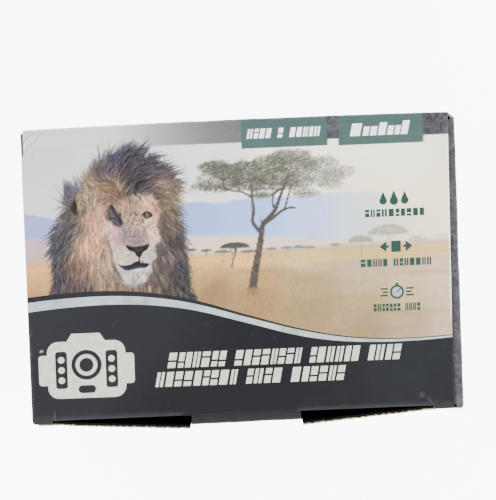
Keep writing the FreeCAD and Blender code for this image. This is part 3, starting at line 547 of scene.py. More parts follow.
def paint_ear(rng):
    """A round ear, dark inside, with locks that grow out over it."""
    fill(((-60.2, 27.0), (-59.2, 29.8), (-56.6, 31.0), (-53.8, 30.2), (-52.6, 27.6), (-53.4, 24.4),
          (-55.2, 21.6), (-57.6, 21.8), (-59.4, 24.0)), (130, 122, 114), 0.6, 0.85, 0.5, 72)
    fill(((-59.0, 26.4), (-57.6, 28.8), (-55.2, 28.8), (-54.2, 26.4), (-55.0, 23.6), (-57.0, 22.8),
          (-58.6, 24.2)),
         (66, 58, 54), 0.9, 0.95, 0.5, 73)
    for _ in range(200):
        turn = rng.uniform(0.1, 1.0) * math.pi
        x, y = -56.4 + 3.7 * math.cos(turn), 27.0 + 4.0 * math.sin(turn)
        shade = np.array((136, 126, 118)) + rng.normal(0, 34)
        stroke(((x, y), (x + rng.normal(0.2, 0.5), y - rng.uniform(0.6, 2.6))), 0.28, 0.1, shade, 0.6)
    for _ in range(240):
        x, y = rng.uniform(-56.6, -49.0), rng.uniform(25.0, 32.4)
        shade = np.array((186, 170, 154)) + rng.normal(0, 34)
        middle = (x - rng.uniform(-0.2, 0.7), y - rng.uniform(0.8, 1.8))
        stroke(open_curve(((x, y), middle, (x + rng.normal(0.1, 0.5), y - rng.uniform(2.4, 4.6))), 3), 0.28,
               0.08, shade, 0.62)
    for _ in range(60):
        x, y = rng.uniform(-61.0, -58.8), rng.uniform(28.0, 31.5)
        stroke(((x, y), (x - rng.uniform(-0.3, 0.7), y + rng.uniform(1.4, 4.4))), 0.4, 0.08,
               np.array((96, 90, 106)) + rng.normal(0, 16), 0.5)


PANEL_TONE = ((-72, -16, 68, 69, 74), (-72, -46, 64, 65, 70), (-40, -20, 64, 65, 70), (-20, -48, 48, 49, 54),
              (10, -35, 46, 47, 52), (30, -48, 50, 51, 56), (60, -35, 60, 63, 68), (72, -48, 56, 58, 63))


def paint_lion():
    before = picture.copy()
    rng = np.random.default_rng(51)
    line = closed_curve(MANE)
    low, high = line.min(0) - 2, line.max(0) + 2
    where = window(low[0], high[0], low[1], high[1])
    lay(where, blend_of(HAIR_TONE, PX[where], PY[where], 2.5) - 12, outline_cover(where, line, 0.5, 0.9, 52))
    inner = [(0.97 * x - 1.2, 0.97 * y + 0.5) for x, y in MANE]
    hair(rng, 4600, 5.2, 0.46, 27, 0.66, MANE)
    hair(rng, 3600, 3.8, 0.3, 36, 0.62, inner)
    paint_ear(rng)
    paint_face(rng)
    # the fringe of the mane falls over the edges of the face
    for x, y, dx, dy, spread in ((-45.8, 24.0, 1.2, -3.4, 1.6), (-40.5, 27.8, 0.8, -2.2, 2.2),
                                 (-34.0, 29.6, 1.6, -1.8, 2.4), (-28.2, 25.0, 1.4, -2.6, 1.4),
                                 (-28.0, 18.0, 1.0, -3.2, 1.0), (-47.6, 15.0, 0.0, -4.0, 1.2),
                                 (-46.2, 8.4, 0.6, -4.0, 1.0), (-28.6, 9.0, 0.8, -3.0, 0.9),
                                 (-43.4, 0.6, 0.6, -3.4, 0.9), (-31.0, 0.6, 0.4, -3.4, 0.9),
                                 (-37.0, -3.2, 0.0, -3.4, 3.2)):
        for _ in range(26):
            sx, sy = x + rng.normal(0, spread), y + rng.normal(0, 1.0)
            reach = rng.uniform(0.5, 1.1)
            shade = blend_of(HAIR_TONE, sx, sy, 1.5) + rng.normal(0, 22)
            stroke(open_curve(((sx, sy), (sx + 0.6 * dx * reach, sy + 0.5 * dy * reach),
                               (sx + dx * reach, sy + dy * reach)), 3), 0.32, 0.1, shade, 0.6)
    # loose ends that break the mane's outline against the sky
    rim = closed_curve(MANE, 10)
    for _ in range(900):
        x, y = rim[rng.integers(0, len(rim))] + rng.normal(0, 0.7, 2)
        away = np.array((x + 42, y - 16))
        flow = unit(blend_of(HAIR_FLOW, x, y, 2.0)) + 0.45 * unit(away)
        reach = rng.uniform(0.6, 2.3)
        shade = blend_of(HAIR_TONE, x, y, 1.5) + rng.normal(0, 16)
        bend = rng.normal(0, 0.3)
        middle = (x + flow[0] * reach * 0.5 - bend * flow[1], y + flow[1] * reach * 0.5 + bend * flow[0])
        stroke(open_curve(((x, y), middle, (x + flow[0] * reach, y + flow[1] * reach)), 3), 0.3, 0.08,
               shade, 0.55)
    changed = abs(picture - before).max(-1) > 12
    camo_share[changed] = 0
    under_swoosh = smooth(through(SWOOSH_TOP, PX) - 1.2 - PY, 0, 0.3)
    lay(EVERYWHERE, blend_of(PANEL_TONE, PX, PY, 12.0), under_swoosh)


BADGES = ((2.0, 32.2, 43.8, 53.5), (36.3, 65.8, 43.6, 53.5))


def paint_margins_and_panel():
    """Camouflage strip along the hinge and charcoal panel along the front."""
    x, y = PX, PY
    strip = smooth(y, 45.95, 46.15)
    grey = through(((-80, 213), (-55, 214), (-40, 211), (-31, 198), (-24, 188), (-12, 172), (2, 160),
                    (20, 140), (45, 116), (80, 104)), x)
    lay(EVERYWHERE, np.stack([grey, grey, grey + 1], -1), strip)
    camo_share[:] = strip * (0.35 * smooth(x, -30, 2) + 0.6 * smooth(x, 0, 42))
    for x0, x1, y0, _ in BADGES:
        badge = smooth(x, x0 - 0.1, x0 + 0.1) * smooth(x1 - x, -0.1, 0.1) * smooth(y, y0 - 0.1, y0 + 0.1)
        lay(EVERYWHERE, (112, 140, 137), badge)
        camo_share[badge > 0.5] = 0
    below = through(SWOOSH_TOP, x) - through(LINE_WIDTH, x) - 0.4 * through(BAND_WIDTH, x)
    lay(EVERYWHERE, CHARCOAL, smooth(below - y, -0.3, 0.3))
    camo_share[y < below] = 0


def paint_wear_and_crease_light():
    """Marks of handling: creases at a corner, drawn as lines of painted shade and painted highlight, nicks,
    faint stains, scratches, rubbed edges, and a lighter band along the front crease that is partly rubbed
    board and partly painted highlight.
    """
    x, y = PX, PY
    rng = np.random.default_rng(81)
    # Corner creases: a grey line of painted shade, with a white line of painted highlight beside it.
    for points, width, strength in ((((-76, 47.6), (-73.4, 50.6), (-71.0, 52.4)), 0.35, 0.5),
                                    (((-74.4, 45.4), (-70.4, 50.0), (-67.4, 53.0)), 0.3, 0.4),
                                    (((-72.0, 43.5), (-70.6, 46.0)), 0.2, 0.3)):
        stroke(open_curve(points), width, width, (160, 160, 162), strength)
        stroke(open_curve([(px + 0.4, py - 0.35) for px, py in points]), width, width, (238, 238, 238),
               strength)
    stroke(((-71.6, -25.6), (-71.2, -25.9)), 0.7, 0.5, (214, 212, 206))
    stroke(((71.2, -45.6), (71.3, -45.7)), 0.4, 0.3, (206, 206, 202))
    stroke(open_curve(((-67.6, -48.6), (-67.5, -49.8), (-67.8, -51.2))), 0.25, 0.5, (150, 148, 144), 0.9)
    stroke(open_curve(((62.4, -46.9), (64.8, -47.6), (66.6, -49.0), (67.2, -50.0), (67.9, -51.0))), 0.3,
           0.45, (128, 128, 126), 0.8)
    for sx, sy, reach in ((-46.6, 47.0, 3.4), (63.0, 44.6, 2.4)):
        spot = np.exp(-(((x - sx) / reach)**2 + ((y - sy) / 0.8)**2))
        lay(EVERYWHERE, (214, 204, 160), 0.35 * spot)
    for _ in range(70):
        sx, sy = rng.uniform(-75, 73), rng.uniform(-49, 52)
        angle, reach = rng.uniform(0, math.pi), rng.uniform(0.6, 4.0)
        tone = (96, 97, 101) if sy < -28 else (200, 200, 199)
        stroke(((sx, sy), (sx + reach * math.cos(angle), sy + reach * math.sin(angle))), 0.16, 0.1, tone,
               0.3)
    rub_and_highlight = smooth(0.5 - (EDGE - abs(x)) + 0.4 * lattice_noise(x, y, 1.1, 83), 0, 0.8)
    lay(EVERYWHERE, (150, 148, 146), 0.3 * rub_and_highlight * smooth(-y, 12, 20))
    lay(EVERYWHERE, (236, 236, 233), 0.7 * smooth(x, EDGE - 0.75, EDGE - 0.45) * smooth(y, -22, -18))
    # Along the front crease beside the lock tabs: a lighter band, partly rubbed board and partly painted
    # highlight of the rolled crease.
    rub_and_highlight = smooth(1.1 - (y - CREASE) + 0.35 * lattice_noise(x, y, 1.3, 84), 0, 0.9)
    rub_and_highlight = rub_and_highlight * smooth(np.maximum(x - SPINE_RIGHT, SPINE_LEFT - x), 0, 2)
    lay(EVERYWHERE, (92, 93, 97), 0.55 * rub_and_highlight)


def paint_picture():
    paint_sky_and_hills()
    paint_grass()
    paint_far_trees()
    paint_acacia()
    paint_margins_and_panel()
    paint_lion()
    paint_wear_and_crease_light()
    np.clip(picture, 0, 255, out=picture)


PRINT_X, PRINT_Y = 0.5, 0.3
PRINT_WIDE, PRINT_DEEP = 0.995, 0.988
SHEAR_X, SHEAR_Y = 0.003, -0.002


def onto_board(x, y):
    """Where a place of the artwork lies on the board: the print is a little off register."""
    return PRINT_X + PRINT_WIDE * x + SHEAR_X * y, PRINT_Y + SHEAR_Y * x + PRINT_DEEP * y


def off_board(x, y):
    """The place of the artwork that is printed at a place on the board, close to onto_board's inverse."""
    return (x - PRINT_X - SHEAR_X * y) / PRINT_WIDE, (y - PRINT_Y - SHEAR_Y * x) / PRINT_DEEP


def printed_at(x, y):
    """The picture's colour at places on the lid, with its neighbours blended in."""
    x, y = off_board(x, y)
    u, v = (x - LEFT) / CELL - 0.5, (y - LOW) / CELL - 0.5
    i, j = np.clip(u.astype(int), 0, COLUMNS - 2), np.clip(v.astype(int), 0, ROWS - 2)
    a, b = np.clip(u - i, 0, 1), np.clip(v - j, 0, 1)

    def mix(values):
        if values.ndim == 3:
            s, t = a[..., None], b[..., None]
        else:
            s, t = a, b
        low = values[j, i] * (1 - s) + values[j, i + 1] * s
        high = values[j + 1, i] * (1 - s) + values[j + 1, i + 1] * s
        return low * (1 - t) + high * t

    return mix(picture), mix(camo_share)


COLOUR_GAIN, INK_GAIN, WHITEST = 1.05, 0.0375, 0.9
WARM_GREEN, WARM_BLUE = 0.07, 0.1
TONE_BEND = 1.14


def linear(colour):
    """The share of light that ink gives back to look this colour, 0 to 255, under the studio light."""
    c = np.asarray(colour, float) / 255
    warm = np.maximum(c[..., 0] - c[..., 2], 0)
    c = c + np.stack([0 * warm, WARM_GREEN * warm, -WARM_BLUE * warm], -1)
    middle = c.mean(-1, keepdims=True)
    c = np.clip(middle + COLOUR_GAIN * (c - middle), 0.01, 0.97)
    return np.minimum(INK_GAIN * c * np.exp(TONE_BEND * c) / (1 - c), WHITEST)


def ink(*colour):
    """A shader colour for an ink that is to look this colour, 0 to 255."""
    return (*[float(value) for value in linear(colour)], 1.0)


# ---------------------------------------------------------------- meshes

def grid_faces(rows, columns):
    """The quads of a grid whose points are numbered row by row."""
    index = np.arange(rows * columns).reshape(rows, columns)
    corners = (index[:-1, :-1], index[:-1, 1:], index[1:, 1:], index[1:, :-1])
    return np.stack(corners, -1).reshape(-1, 4)


def facing(points, quads, way):
    """The quads, turned over if their normals point against this way."""
    a, b, c = (points[quads[:, k]] for k in (0, 1, 3))
    along = (np.cross(b - a, c - a) * way).sum() > 0
    return quads if along else quads[:, ::-1]


def new_piece(name, points, faces, finishes, finish_of=None, smooth_shading=True):
    """A mesh object from points in millimetres, each face with the number of its finish."""
    data = bpy.data.meshes.new(name)
    data.from_pydata((np.asarray(points, float) * MM).tolist(), [], [list(map(int, face)) for face in faces])
    for finish in finishes:
        data.materials.append(finish)
    if finish_of is not None:
        data.polygons.foreach_set("material_index", np.asarray(finish_of, np.int32))
    data.polygons.foreach_set("use_smooth", np.full(len(data.polygons), smooth_shading))
    data.update()
    made = bpy.data.objects.new(name, data)
    bpy.context.scene.collection.objects.link(made)
    return made


def set_vectors(piece, name, values):
    """Keep three numbers for every point of a piece, for its finish to read."""
    made = piece.data.attributes.new(name, "FLOAT_VECTOR", "POINT")
    made.data.foreach_set("vector", np.asarray(values, np.float32).ravel())


PRINT, BACK_LINER, WAVY_EDGE, PLAIN_EDGE = 0, 1, 2, 3


def slab(name, outside, inside, finishes, wavy=("first_row", "last_row")):
    """A piece of corrugated board: two matching grids of points, closed by a raw edge round the rim.

    wavy names the sides where the cut goes across the flutes, so that their waves show.
    """
    rows, columns = outside.shape[:2]
    points, faces, finish_of, rim = [], [], [], []
    first = 0
    for sheet, other, kind in ((outside, inside, PRINT), (inside, outside, BACK_LINER)):
        flat = sheet.reshape(-1, 3)
        way = (sheet - other)[:-1, :-1].reshape(-1, 3)
        quads = facing(flat, grid_faces(rows, columns), way)
        points.append(flat)
        faces.append(quads + first)
        finish_of += [kind] * len(quads)
        rim.append(np.zeros((len(flat), 3)))
        first += len(flat)
    sides = {"first_row": (outside[0], inside[0], outside[1]),
             "last_row": (outside[-1], inside[-1], outside[-2]),
             "first_column": (outside[:, 0], inside[:, 0], outside[:, 1]),
             "last_column": (outside[:, -1], inside[:, -1], outside[:, -2])}
    for side, (outer, inner, next_in) in sides.items():
        along = np.concatenate([[0], np.cumsum(np.linalg.norm(np.diff(outer, axis=0), axis=1))])
        strip = np.concatenate([outer, inner])
        quads = facing(strip, grid_faces(2, len(outer)), (outer - next_in)[:-1])
        points.append(strip)
        faces.append(quads + first)
        finish_of += [WAVY_EDGE if side in wavy else PLAIN_EDGE] * len(quads)
        across = np.repeat((0.0, 1.0), len(outer))
        rim.append(np.stack([np.tile(along, 2), across, across * 0], 1))
        first += len(strip)
    piece = new_piece(name, np.concatenate(points), np.concatenate(faces), finishes, finish_of)
    set_vectors(piece, "rim", np.concatenate(rim))
    return piece


def stations(*stops):
    """Places along a line: each stop says where a stretch ends and how long its steps are."""
    places = [stops[0]]
    for end, step in stops[1:]:
        count = max(1, round(abs(end - places[-1]) / step))
        places += list(np.linspace(places[-1], end, count + 1)[1:])
    return np.array(places)


# ---------------------------------------------------------------- finishes

def node(tree, kind, inputs=None, **settings):
    """A shader node with its settings, and each input either linked or set."""
    made = tree.nodes.new(kind)
    for key, value in settings.items():
        setattr(made, key, value)
    for key, value in (inputs or {}).items():
        if isinstance(value, bpy.types.NodeSocket):
            tree.links.new(value, made.inputs[key])
        else:
            made.inputs[key].default_value = value
    return made


def noise(tree, size, detail=3.0, roughness=0.55, distortion=0.0, stretch=(1, 1, 1)):
    """Noise whose features have this size in millimetres, fixed to the object."""
    place = node(tree, "ShaderNodeTexCoord").outputs["Object"]
    scaled = node(tree, "ShaderNodeMapping", {"Vector": place, "Scale": stretch})
    inputs = {"Vector": scaled.outputs[0], "Scale": 1 / (size * MM), "Detail": detail,
              "Roughness": roughness,
              "Distortion": distortion}
    return node(tree, "ShaderNodeTexNoise", inputs).outputs[0]


def remap(tree, value, low, high, new_low=0.0, new_high=1.0):
    inputs = {"Value": value, "From Min": low, "From Max": high, "To Min": new_low, "To Max": new_high}
    return node(tree, "ShaderNodeMapRange", inputs, clamp=True).outputs[0]


def maths(tree, operation, a, b=0.0):
    return node(tree, "ShaderNodeMath", {0: a, 1: b}, operation=operation).outputs[0]


def mix(tree, share, a, b):
    """Colour a where the share is 0, colour b where it is 1."""
    return node(tree, "ShaderNodeMix", {0: share, 6: a, 7: b}, data_type="RGBA").outputs[2]


def blank(name, roughness=0.5, metallic=0.0, specular=0.5):
    made = bpy.data.materials.new(name)
    made.use_nodes = True
    tree = made.node_tree
    shader = tree.nodes["Principled BSDF"]
    shader.inputs["Roughness"].default_value = roughness
    shader.inputs["Metallic"].default_value = metallic
    shader.inputs["Specular IOR Level"].default_value = specular
    return made, tree, shader


def set_relief(tree, shader, height, depth):
    """Bumps of this depth in millimetres."""
    inputs = {"Height": height, "Distance": depth * MM, "Strength": 1.0}
    tree.links.new(node(tree, "ShaderNodeBump", inputs).outputs[0], shader.inputs["Normal"])


def finish(name, low, high, size=3.0, rough=(0.45, 0.6), grain=0.4, depth=0.02, metallic=0.0, specular=0.5,
           stretch=(1, 1, 1)):
    """A finish that wanders between two colours, with its own roughness and grain."""
    made, tree, shader = blank(name, metallic=metallic, specular=specular)
    tone = remap(tree, noise(tree, size, 4.0, stretch=stretch), 0.3, 0.7)
    tree.links.new(mix(tree, tone, low, high), shader.inputs["Base Color"])
    wear = noise(tree, size * 0.7, 3.0)
    tree.links.new(remap(tree, wear, 0.3, 0.7, *rough), shader.inputs["Roughness"])
    set_relief(tree, shader, noise(tree, grain, 3.0, stretch=stretch), depth)
    return made


def camouflage(tree):
    """Grey leaf camouflage: soft patches, broken by thin twigs and small leaves."""
    patches = noise(tree, 9.0, 2.0, 0.5, 0.6)
    leaves = noise(tree, 3.2, 1.0, 0.4, 1.6)
    twigs = noise(tree, 5.5, 3.0, 0.6, 1.2, (1, 0.45, 1))
    colour = mix(tree, remap(tree, patches, 0.42, 0.5), ink(100, 101, 106), ink(114, 113, 117))
    colour = mix(tree, remap(tree, leaves, 0.56, 0.62), colour, ink(130, 130, 144))
    colour = mix(tree, remap(tree, leaves, 0.36, 0.32), colour, ink(88, 91, 99))
    thin = maths(tree, "ABSOLUTE", maths(tree, "SUBTRACT", twigs, 0.5))
    return mix(tree, remap(tree, thin, 0.022, 0.006, 0.0, 0.55), colour, ink(138, 138, 137))


LINER_RELIEF = 0.06


def board_relief(tree, shader):
    """Paper fibre, and a gentle swell of the liner."""
    fibre = noise(tree, 0.35, 4.0)
    swell = noise(tree, 5.0, 2.0)
    height = maths(tree, "ADD", maths(tree, "MULTIPLY", fibre, 0.35), swell)
    set_relief(tree, shader, height, LINER_RELIEF)


def printed_finish():
    """The lid's picture, kept in the colours of its points, with camouflage mixed in along the hinge."""
    made, tree, shader = blank("print_on_lid", specular=0.04)
    colour = node(tree, "ShaderNodeAttribute", attribute_name="print")
    shade = mix(tree, colour.outputs["Alpha"], colour.outputs["Color"], camouflage(tree))
    mottle = remap(tree, noise(tree, 2.2, 4.0), 0.3, 0.7, 0.97, 1.03)
    tinted = node(tree, "ShaderNodeVectorMath", {0: shade, "Scale": mottle}, operation="SCALE")
    tree.links.new(tinted.outputs[0], shader.inputs["Base Color"])
    tree.links.new(remap(tree, noise(tree, 6.0), 0.3, 0.7, 0.46, 0.6), shader.inputs["Roughness"])
    board_relief(tree, shader)
    return made


def camo_finish():
    made, tree, shader = blank("print_camouflage", specular=0.1)
    tree.links.new(camouflage(tree), shader.inputs["Base Color"])
    tree.links.new(remap(tree, noise(tree, 6.0), 0.3, 0.7, 0.46, 0.6), shader.inputs["Roughness"])
    board_relief(tree, shader)
    return made


def edge_finish(name, wavy):
    """Raw board edge: two liners with the fluted sheet between them."""
    made, tree, shader = blank(name, 0.85, specular=0.2)
    rim = node(tree, "ShaderNodeAttribute", attribute_name="rim").outputs["Vector"]
    parts = node(tree, "ShaderNodeSeparateXYZ", {0: rim})
    along, across = parts.outputs[0], parts.outputs[1]
    centred = maths(tree, "ABSOLUTE", maths(tree, "SUBTRACT", across, 0.5))
    liner = remap(tree, centred, 0.33, 0.38)
    if wavy:
        turn = maths(tree, "MULTIPLY", along, 2 * math.pi / FLUTE_PITCH)
        wave = maths(tree, "MULTIPLY", maths(tree, "SINE", turn), 0.33)
        gap = maths(tree, "ABSOLUTE", maths(tree, "SUBTRACT", maths(tree, "SUBTRACT", across, 0.5), wave))
        paper = maths(tree, "MAXIMUM", liner, remap(tree, gap, 0.16, 0.08))
    else:
        paper = maths(tree, "MAXIMUM", liner, remap(tree, noise(tree, 1.2, 2.0), 0.5, 0.6))
    tone = remap(tree, noise(tree, 0.5, 4.0), 0.3, 0.7)
    light = mix(tree, tone, ink(176, 156, 124), ink(206, 192, 164))
    # The dark brown between the paper is painted shade of the hollows among the flutes.
    tree.links.new(mix(tree, paper, ink(96, 78, 56), light), shader.inputs["Base Color"])
    tree.links.new(remap(tree, tone, 0.0, 1.0, 0.8, 0.95), shader.inputs["Roughness"])
    set_relief(tree, shader, maths(tree, "ADD", paper, noise(tree, 0.2)), 0.12)
    return made


def slot_edge_finish():
    """The front wall's free edge: its outer liner shows pale and frayed, and the rest is painted near black as
    shade inside the slot.
    """
    made, tree, shader = blank("raw_edge_at_slot", 0.9, specular=0.1)
    rim = node(tree, "ShaderNodeAttribute", attribute_name="rim").outputs["Vector"]
    across = node(tree, "ShaderNodeSeparateXYZ", {0: rim}).outputs[1]
    fray = remap(tree, noise(tree, 1.1, 3.0), 0.3, 0.7, -0.16, 0.16)
    reach = maths(tree, "ADD", across, fray)
    tone = remap(tree, noise(tree, 0.7, 4.0), 0.3, 0.7)
    light = mix(tree, tone, ink(150, 138, 118), ink(206, 198, 178))
    # Painted shade: all of the edge but its outer liner is near black.
    shade = mix(tree, remap(tree, reach, 0.3, 0.42), light, ink(16, 16, 18))
    tree.links.new(shade, shader.inputs["Base Color"])
    tree.links.new(remap(tree, tone, 0.0, 1.0, 0.85, 0.95), shader.inputs["Roughness"])
    set_relief(tree, shader, noise(tree, 0.3), 0.1)
    return made


PAINTED = printed_finish()
CAMO = camo_finish()
KRAFT = finish("kraft_liner", ink(164, 132, 96), ink(184, 153, 116), 4.0, (0.8, 0.95), 0.3, 0.05,
               specular=0.2,
               stretch=(1, 0.3, 1))
RAW_WAVY = edge_finish("raw_edge_across_flutes", True)
RAW_PLAIN = edge_finish("raw_edge_along_flutes", False)
SLOT_EDGE = slot_edge_finish()
CHARCOAL_BOARD = finish("print_charcoal", ink(54, 55, 59), ink(62, 63, 68), 3.0, (0.45, 0.6), 0.35, 0.02,
                        specular=0.08)
# Near-black finish for the slots beside the lock tabs: painted shade of the deep slots, on the front wall's
# inner face and on the inner front wall's outer face.
SLOT_SHADE = finish("painted_shade_inside_slot", ink(10, 10, 12), ink(18, 18, 21), 2.0, (0.8, 0.95), 0.3, 0.03,
                   specular=0.05)
PALE_INK = finish("ink_white", ink(208, 209, 204), ink(216, 217, 213), 2.5, (0.4, 0.5), 0.3, 0.01,
                  specular=0.1)
BRIGHT_INK = finish("ink_bright", ink(236, 236, 232), ink(240, 240, 237), 2.5, (0.4, 0.5), 0.3, 0.01,
                    specular=0.1)
SILVER_INK = finish("ink_silver", ink(186, 192, 193), ink(208, 212, 213), 8.0, (0.4, 0.5), 0.3, 0.01,
                    specular=0.1)
LINE_INK = finish("ink_dark_line", ink(46, 48, 54), ink(56, 58, 64), 2.5, (0.4, 0.5), 0.3, 0.01,
                  specular=0.1)
BADGE_INK = finish("ink_badge_green", ink(104, 134, 131), ink(116, 142, 139), 3.0, (0.4, 0.5), 0.3, 0.01,
                   specular=0.1)
GREEN_INK = finish("ink_dark_green", ink(58, 104, 92), ink(70, 114, 102), 2.5, (0.4, 0.5), 0.3, 0.01,
                   specular=0.1)
BOARD = (CAMO, KRAFT, RAW_WAVY, RAW_PLAIN)


# ---------------------------------------------------------------- the lid

CORNER_LENGTH, CORNER_ROUND, NOTCH = 7.0, 1.5, 0.5
NOTCH_BACK = 0.25
CORNER_CUT = 0.9
CREASE_START = 1.1
SKEW = 0.012


def askew(points):
    """The lid sits slightly askew: its front edge is shifted to the left of its hinge."""
    moved = np.array(points, float)
    moved[..., 0] -= SKEW * (HINGE - moved[..., 1])
    return moved


def front_line(x):
    """The lid's front outline: two rounded corners, a notch beside each, and the crease between them."""
    inward = np.minimum(x - LID_LEFT, LID_RIGHT - x)
    line = np.full(x.shape, CREASE)
    middle = smooth(x, SPINE_LEFT, SPINE_LEFT + 12) * smooth(SPINE_RIGHT - x, -1, 2)
    line = line + 0.45 * middle
    in_notch = smooth(inward, CORNER_LENGTH - 0.15, CORNER_LENGTH + 0.15)
    past_notch = smooth(inward, CORNER_LENGTH + NOTCH - 0.2, CORNER_LENGTH + NOTCH + 0.6)
    line = np.where(inward < CORNER_LENGTH + NOTCH + 1, CREASE + NOTCH_BACK * (1 - past_notch), line)
    line = CORNER_FRONT + (line - CORNER_FRONT) * in_notch
    bend = np.clip(CORNER_ROUND - inward, 0, CORNER_ROUND)
    return line + CORNER_ROUND - np.sqrt(CORNER_ROUND**2 - bend**2)


def back_bow(x):
    """How far the hinge edge bulges out along its length."""
    share = np.clip((x - LID_LEFT) / (LID_RIGHT - LID_LEFT), 0, 1)
    return 0.6 * np.sin(math.pi * share)**0.7 + 0.07 * lattice_noise(x, x * 0, 3.0,
                                                                     91) * np.sin(math.pi * share)


def groove(x, y, start, end, width, depth):
    """A straight dent pressed into the lid."""
    dx, dy = end[0] - start[0], end[1] - start[1]
    t = np.clip(((x - start[0]) * dx + (y - start[1]) * dy) / (dx * dx + dy * dy), 0, 1)
    gap = np.hypot(x - start[0] - t * dx, y - start[1] - t * dy)
    return -depth * np.exp(-(gap / width)**2)


def lid_height(x, y):
    """The lid's gentle swell and its dents, above its nominal top."""
    across = (x - LID_MIDDLE) / EDGE
    deep = (y - (HINGE + CREASE) / 2) / ((HINGE - CREASE) / 2)
    height = 0.28 * np.clip(1 - across**2, 0, 1) * np.clip(1 - deep**2, 0, 1)
    height = height + 0.05 * lattice_noise(x, y, 21.0, 92) + 0.015 * lattice_noise(x, y, 6.0, 93)
    height += groove(x, y, (LID_LEFT - 1, 47.4), (LID_LEFT + 5.5, 53.2), 0.5, 0.16)
    height += groove(x, y, (LID_LEFT + 2.2, 44.6), (LID_LEFT + 9.0, 53.2), 0.45, 0.14)
    height += groove(x, y, (LID_RIGHT - 11.5, -46.5), (LID_RIGHT - 8.0, -49.0), 0.6, 0.12)
    height += groove(x, y, (LID_LEFT + 8.4, -47.6), (LID_LEFT + 8.0, -50), 0.6, 0.2)
    return height


def round_off(distance, radius):
    """How far a rounded edge falls away at this distance from it."""
    t = np.clip(radius - distance, 0, radius)
    return radius - np.sqrt(np.maximum(radius**2 - t**2, 0))


def front_radius(x):
    """The front edge is a wide roll where a tab folds down, and a cut edge elsewhere."""
    over_tab = np.maximum(smooth(SPINE_LEFT - x, 0, 1.5) * smooth(x, LID_LEFT + CORNER_LENGTH + NOTCH,
                                                                  LID_LEFT + 11),
                          smooth(x - SPINE_RIGHT, 0, 1.5)
                          * smooth(LID_RIGHT - CORNER_LENGTH - NOTCH - x, 0, 2))
    return 0.3 + 0.75 * over_tab


def lid_top(x, y):
    """Height of the lid's printed face, rounding included."""
    fall = round_off(np.minimum(x - LID_LEFT, LID_RIGHT - x), 0.3)
    fall = fall + round_off(y - front_line(x), front_radius(x)) + round_off(HINGE + back_bow(x) - 0.35 - y,
                                                                            0.5)
    return LID_TOP + lid_height(x, y) - fall


def build_lid():
    """The lid's board: a dense printed face, a rim, and one flat face underneath."""
    left, right = LID_LEFT, LID_RIGHT
    marks = [left + d for d in (0, 0.05, 0.14, 0.3)] + [right - d for d in (0, 0.05, 0.14, 0.3)]
    for side, sign in ((left, 1), (right, -1)):
        marks += [side + sign * (CORNER_LENGTH + d) for d in (-0.15, 0, 0.15, NOTCH - 0.2, NOTCH + 0.2,
                                                              NOTCH + 0.6)]
        marks += [side + sign * d for d in (0.6, 1.0, 1.6)]
    middle = LID_MIDDLE
    columns = stations(left + 0.55, (middle - 68.5, 0.6), (middle - 16.0, 0.295), (middle + 45, 0.46),
                       (right - 0.6, 0.85))
    x = np.unique(np.round(np.concatenate([marks, columns]), 3))
    x = x[np.concatenate([[True], np.diff(x) > 0.035])]
    rows = stations(-46.5, (-27.5, 1.9), (-11, 0.62), (48, 0.31), (HINGE - 1.2, 0.62))
    front_rows = CORNER_FRONT + np.array((0, 0.06, 0.16, 0.32, 0.55, 0.85, 1.2, 1.7, 2.5, 3.6))
    back_rows = HINGE + np.array((-0.9, -0.75, -0.62, -0.5, -0.38, -0.26, -0.14, -0.06, 0))
    v = np.concatenate([front_rows, rows, back_rows])
    X, V = np.meshgrid(x, v)
    front = front_line(X)
    hold = rows[0]
    Y = np.where(V < hold, front + (V - CORNER_FRONT) / (hold - CORNER_FRONT) * (hold - front), V)
    ease = smooth(Y, HINGE - 6, HINGE)
    Y = Y + ease * (back_bow(X) - 0.35)
    Z = lid_top(X, Y)
    X = X + CORNER_CUT * smooth(Y, 43.0, 44.8) * (1 - smooth(X - left, 0, 6))
    top = np.stack([X, Y, Z], -1)
    rows_count, columns_count = X.shape
    flat = top.reshape(-1, 3)
    quads = grid_faces(rows_count, columns_count)
    loop = np.concatenate([np.arange(columns_count), np.arange(1,
                                                               rows_count) * columns_count + columns_count - 1,
                           (rows_count - 1) * columns_count + np.arange(columns_count - 2, -1, -1),
                           np.arange(rows_count - 2, 0, -1) * columns_count])
    rim_top = flat[loop]
    rim_low = rim_top.copy()
    rim_low[:, 2] = LID_LOW[2] + 0.5 * lid_height(rim_low[:, 0], rim_low[:, 1])
    count = len(loop)
    first = len(flat)
    order = np.arange(count)
    after = np.roll(order, -1)
    rim_faces = np.stack([first + order, first + count + order, first + count + after, first + after], -1)
    at_front = rim_top[:, 1] < CREASE + 1.0
    rolled = at_front & (front_radius(rim_top[:, 0]) > 0.6)
    at_back = rim_top[:, 1] > HINGE - 1.2
    sideways = ~(at_front | at_back)
    kind = np.where(rolled | at_back, PRINT, np.where(sideways, PLAIN_EDGE, WAVY_EDGE))
    under = first + 2 * count + order
    points = askew(np.concatenate([flat, rim_top, rim_low, rim_low]))
    faces = [*quads.tolist(), *rim_faces.tolist(), under[::-1].tolist()]
    finish_of = np.concatenate([np.full(len(quads), PRINT), kind, [BACK_LINER]])
    piece = new_piece("lid_board", points, faces, (PAINTED, KRAFT, RAW_WAVY, RAW_PLAIN), finish_of)
    along = np.concatenate([[0], np.cumsum(np.linalg.norm(np.diff(rim_top, axis=0), axis=1))])
    rim = np.zeros((len(points), 3))
    rim[first:first + count, 0] = along
    rim[first + count:first + 2 * count, 0] = along
    rim[first + count:first + 2 * count, 1] = 1
    set_vectors(piece, "rim", rim)
    store_print(piece)
    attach(piece, "lid")
    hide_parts("lid_panel")
    return piece


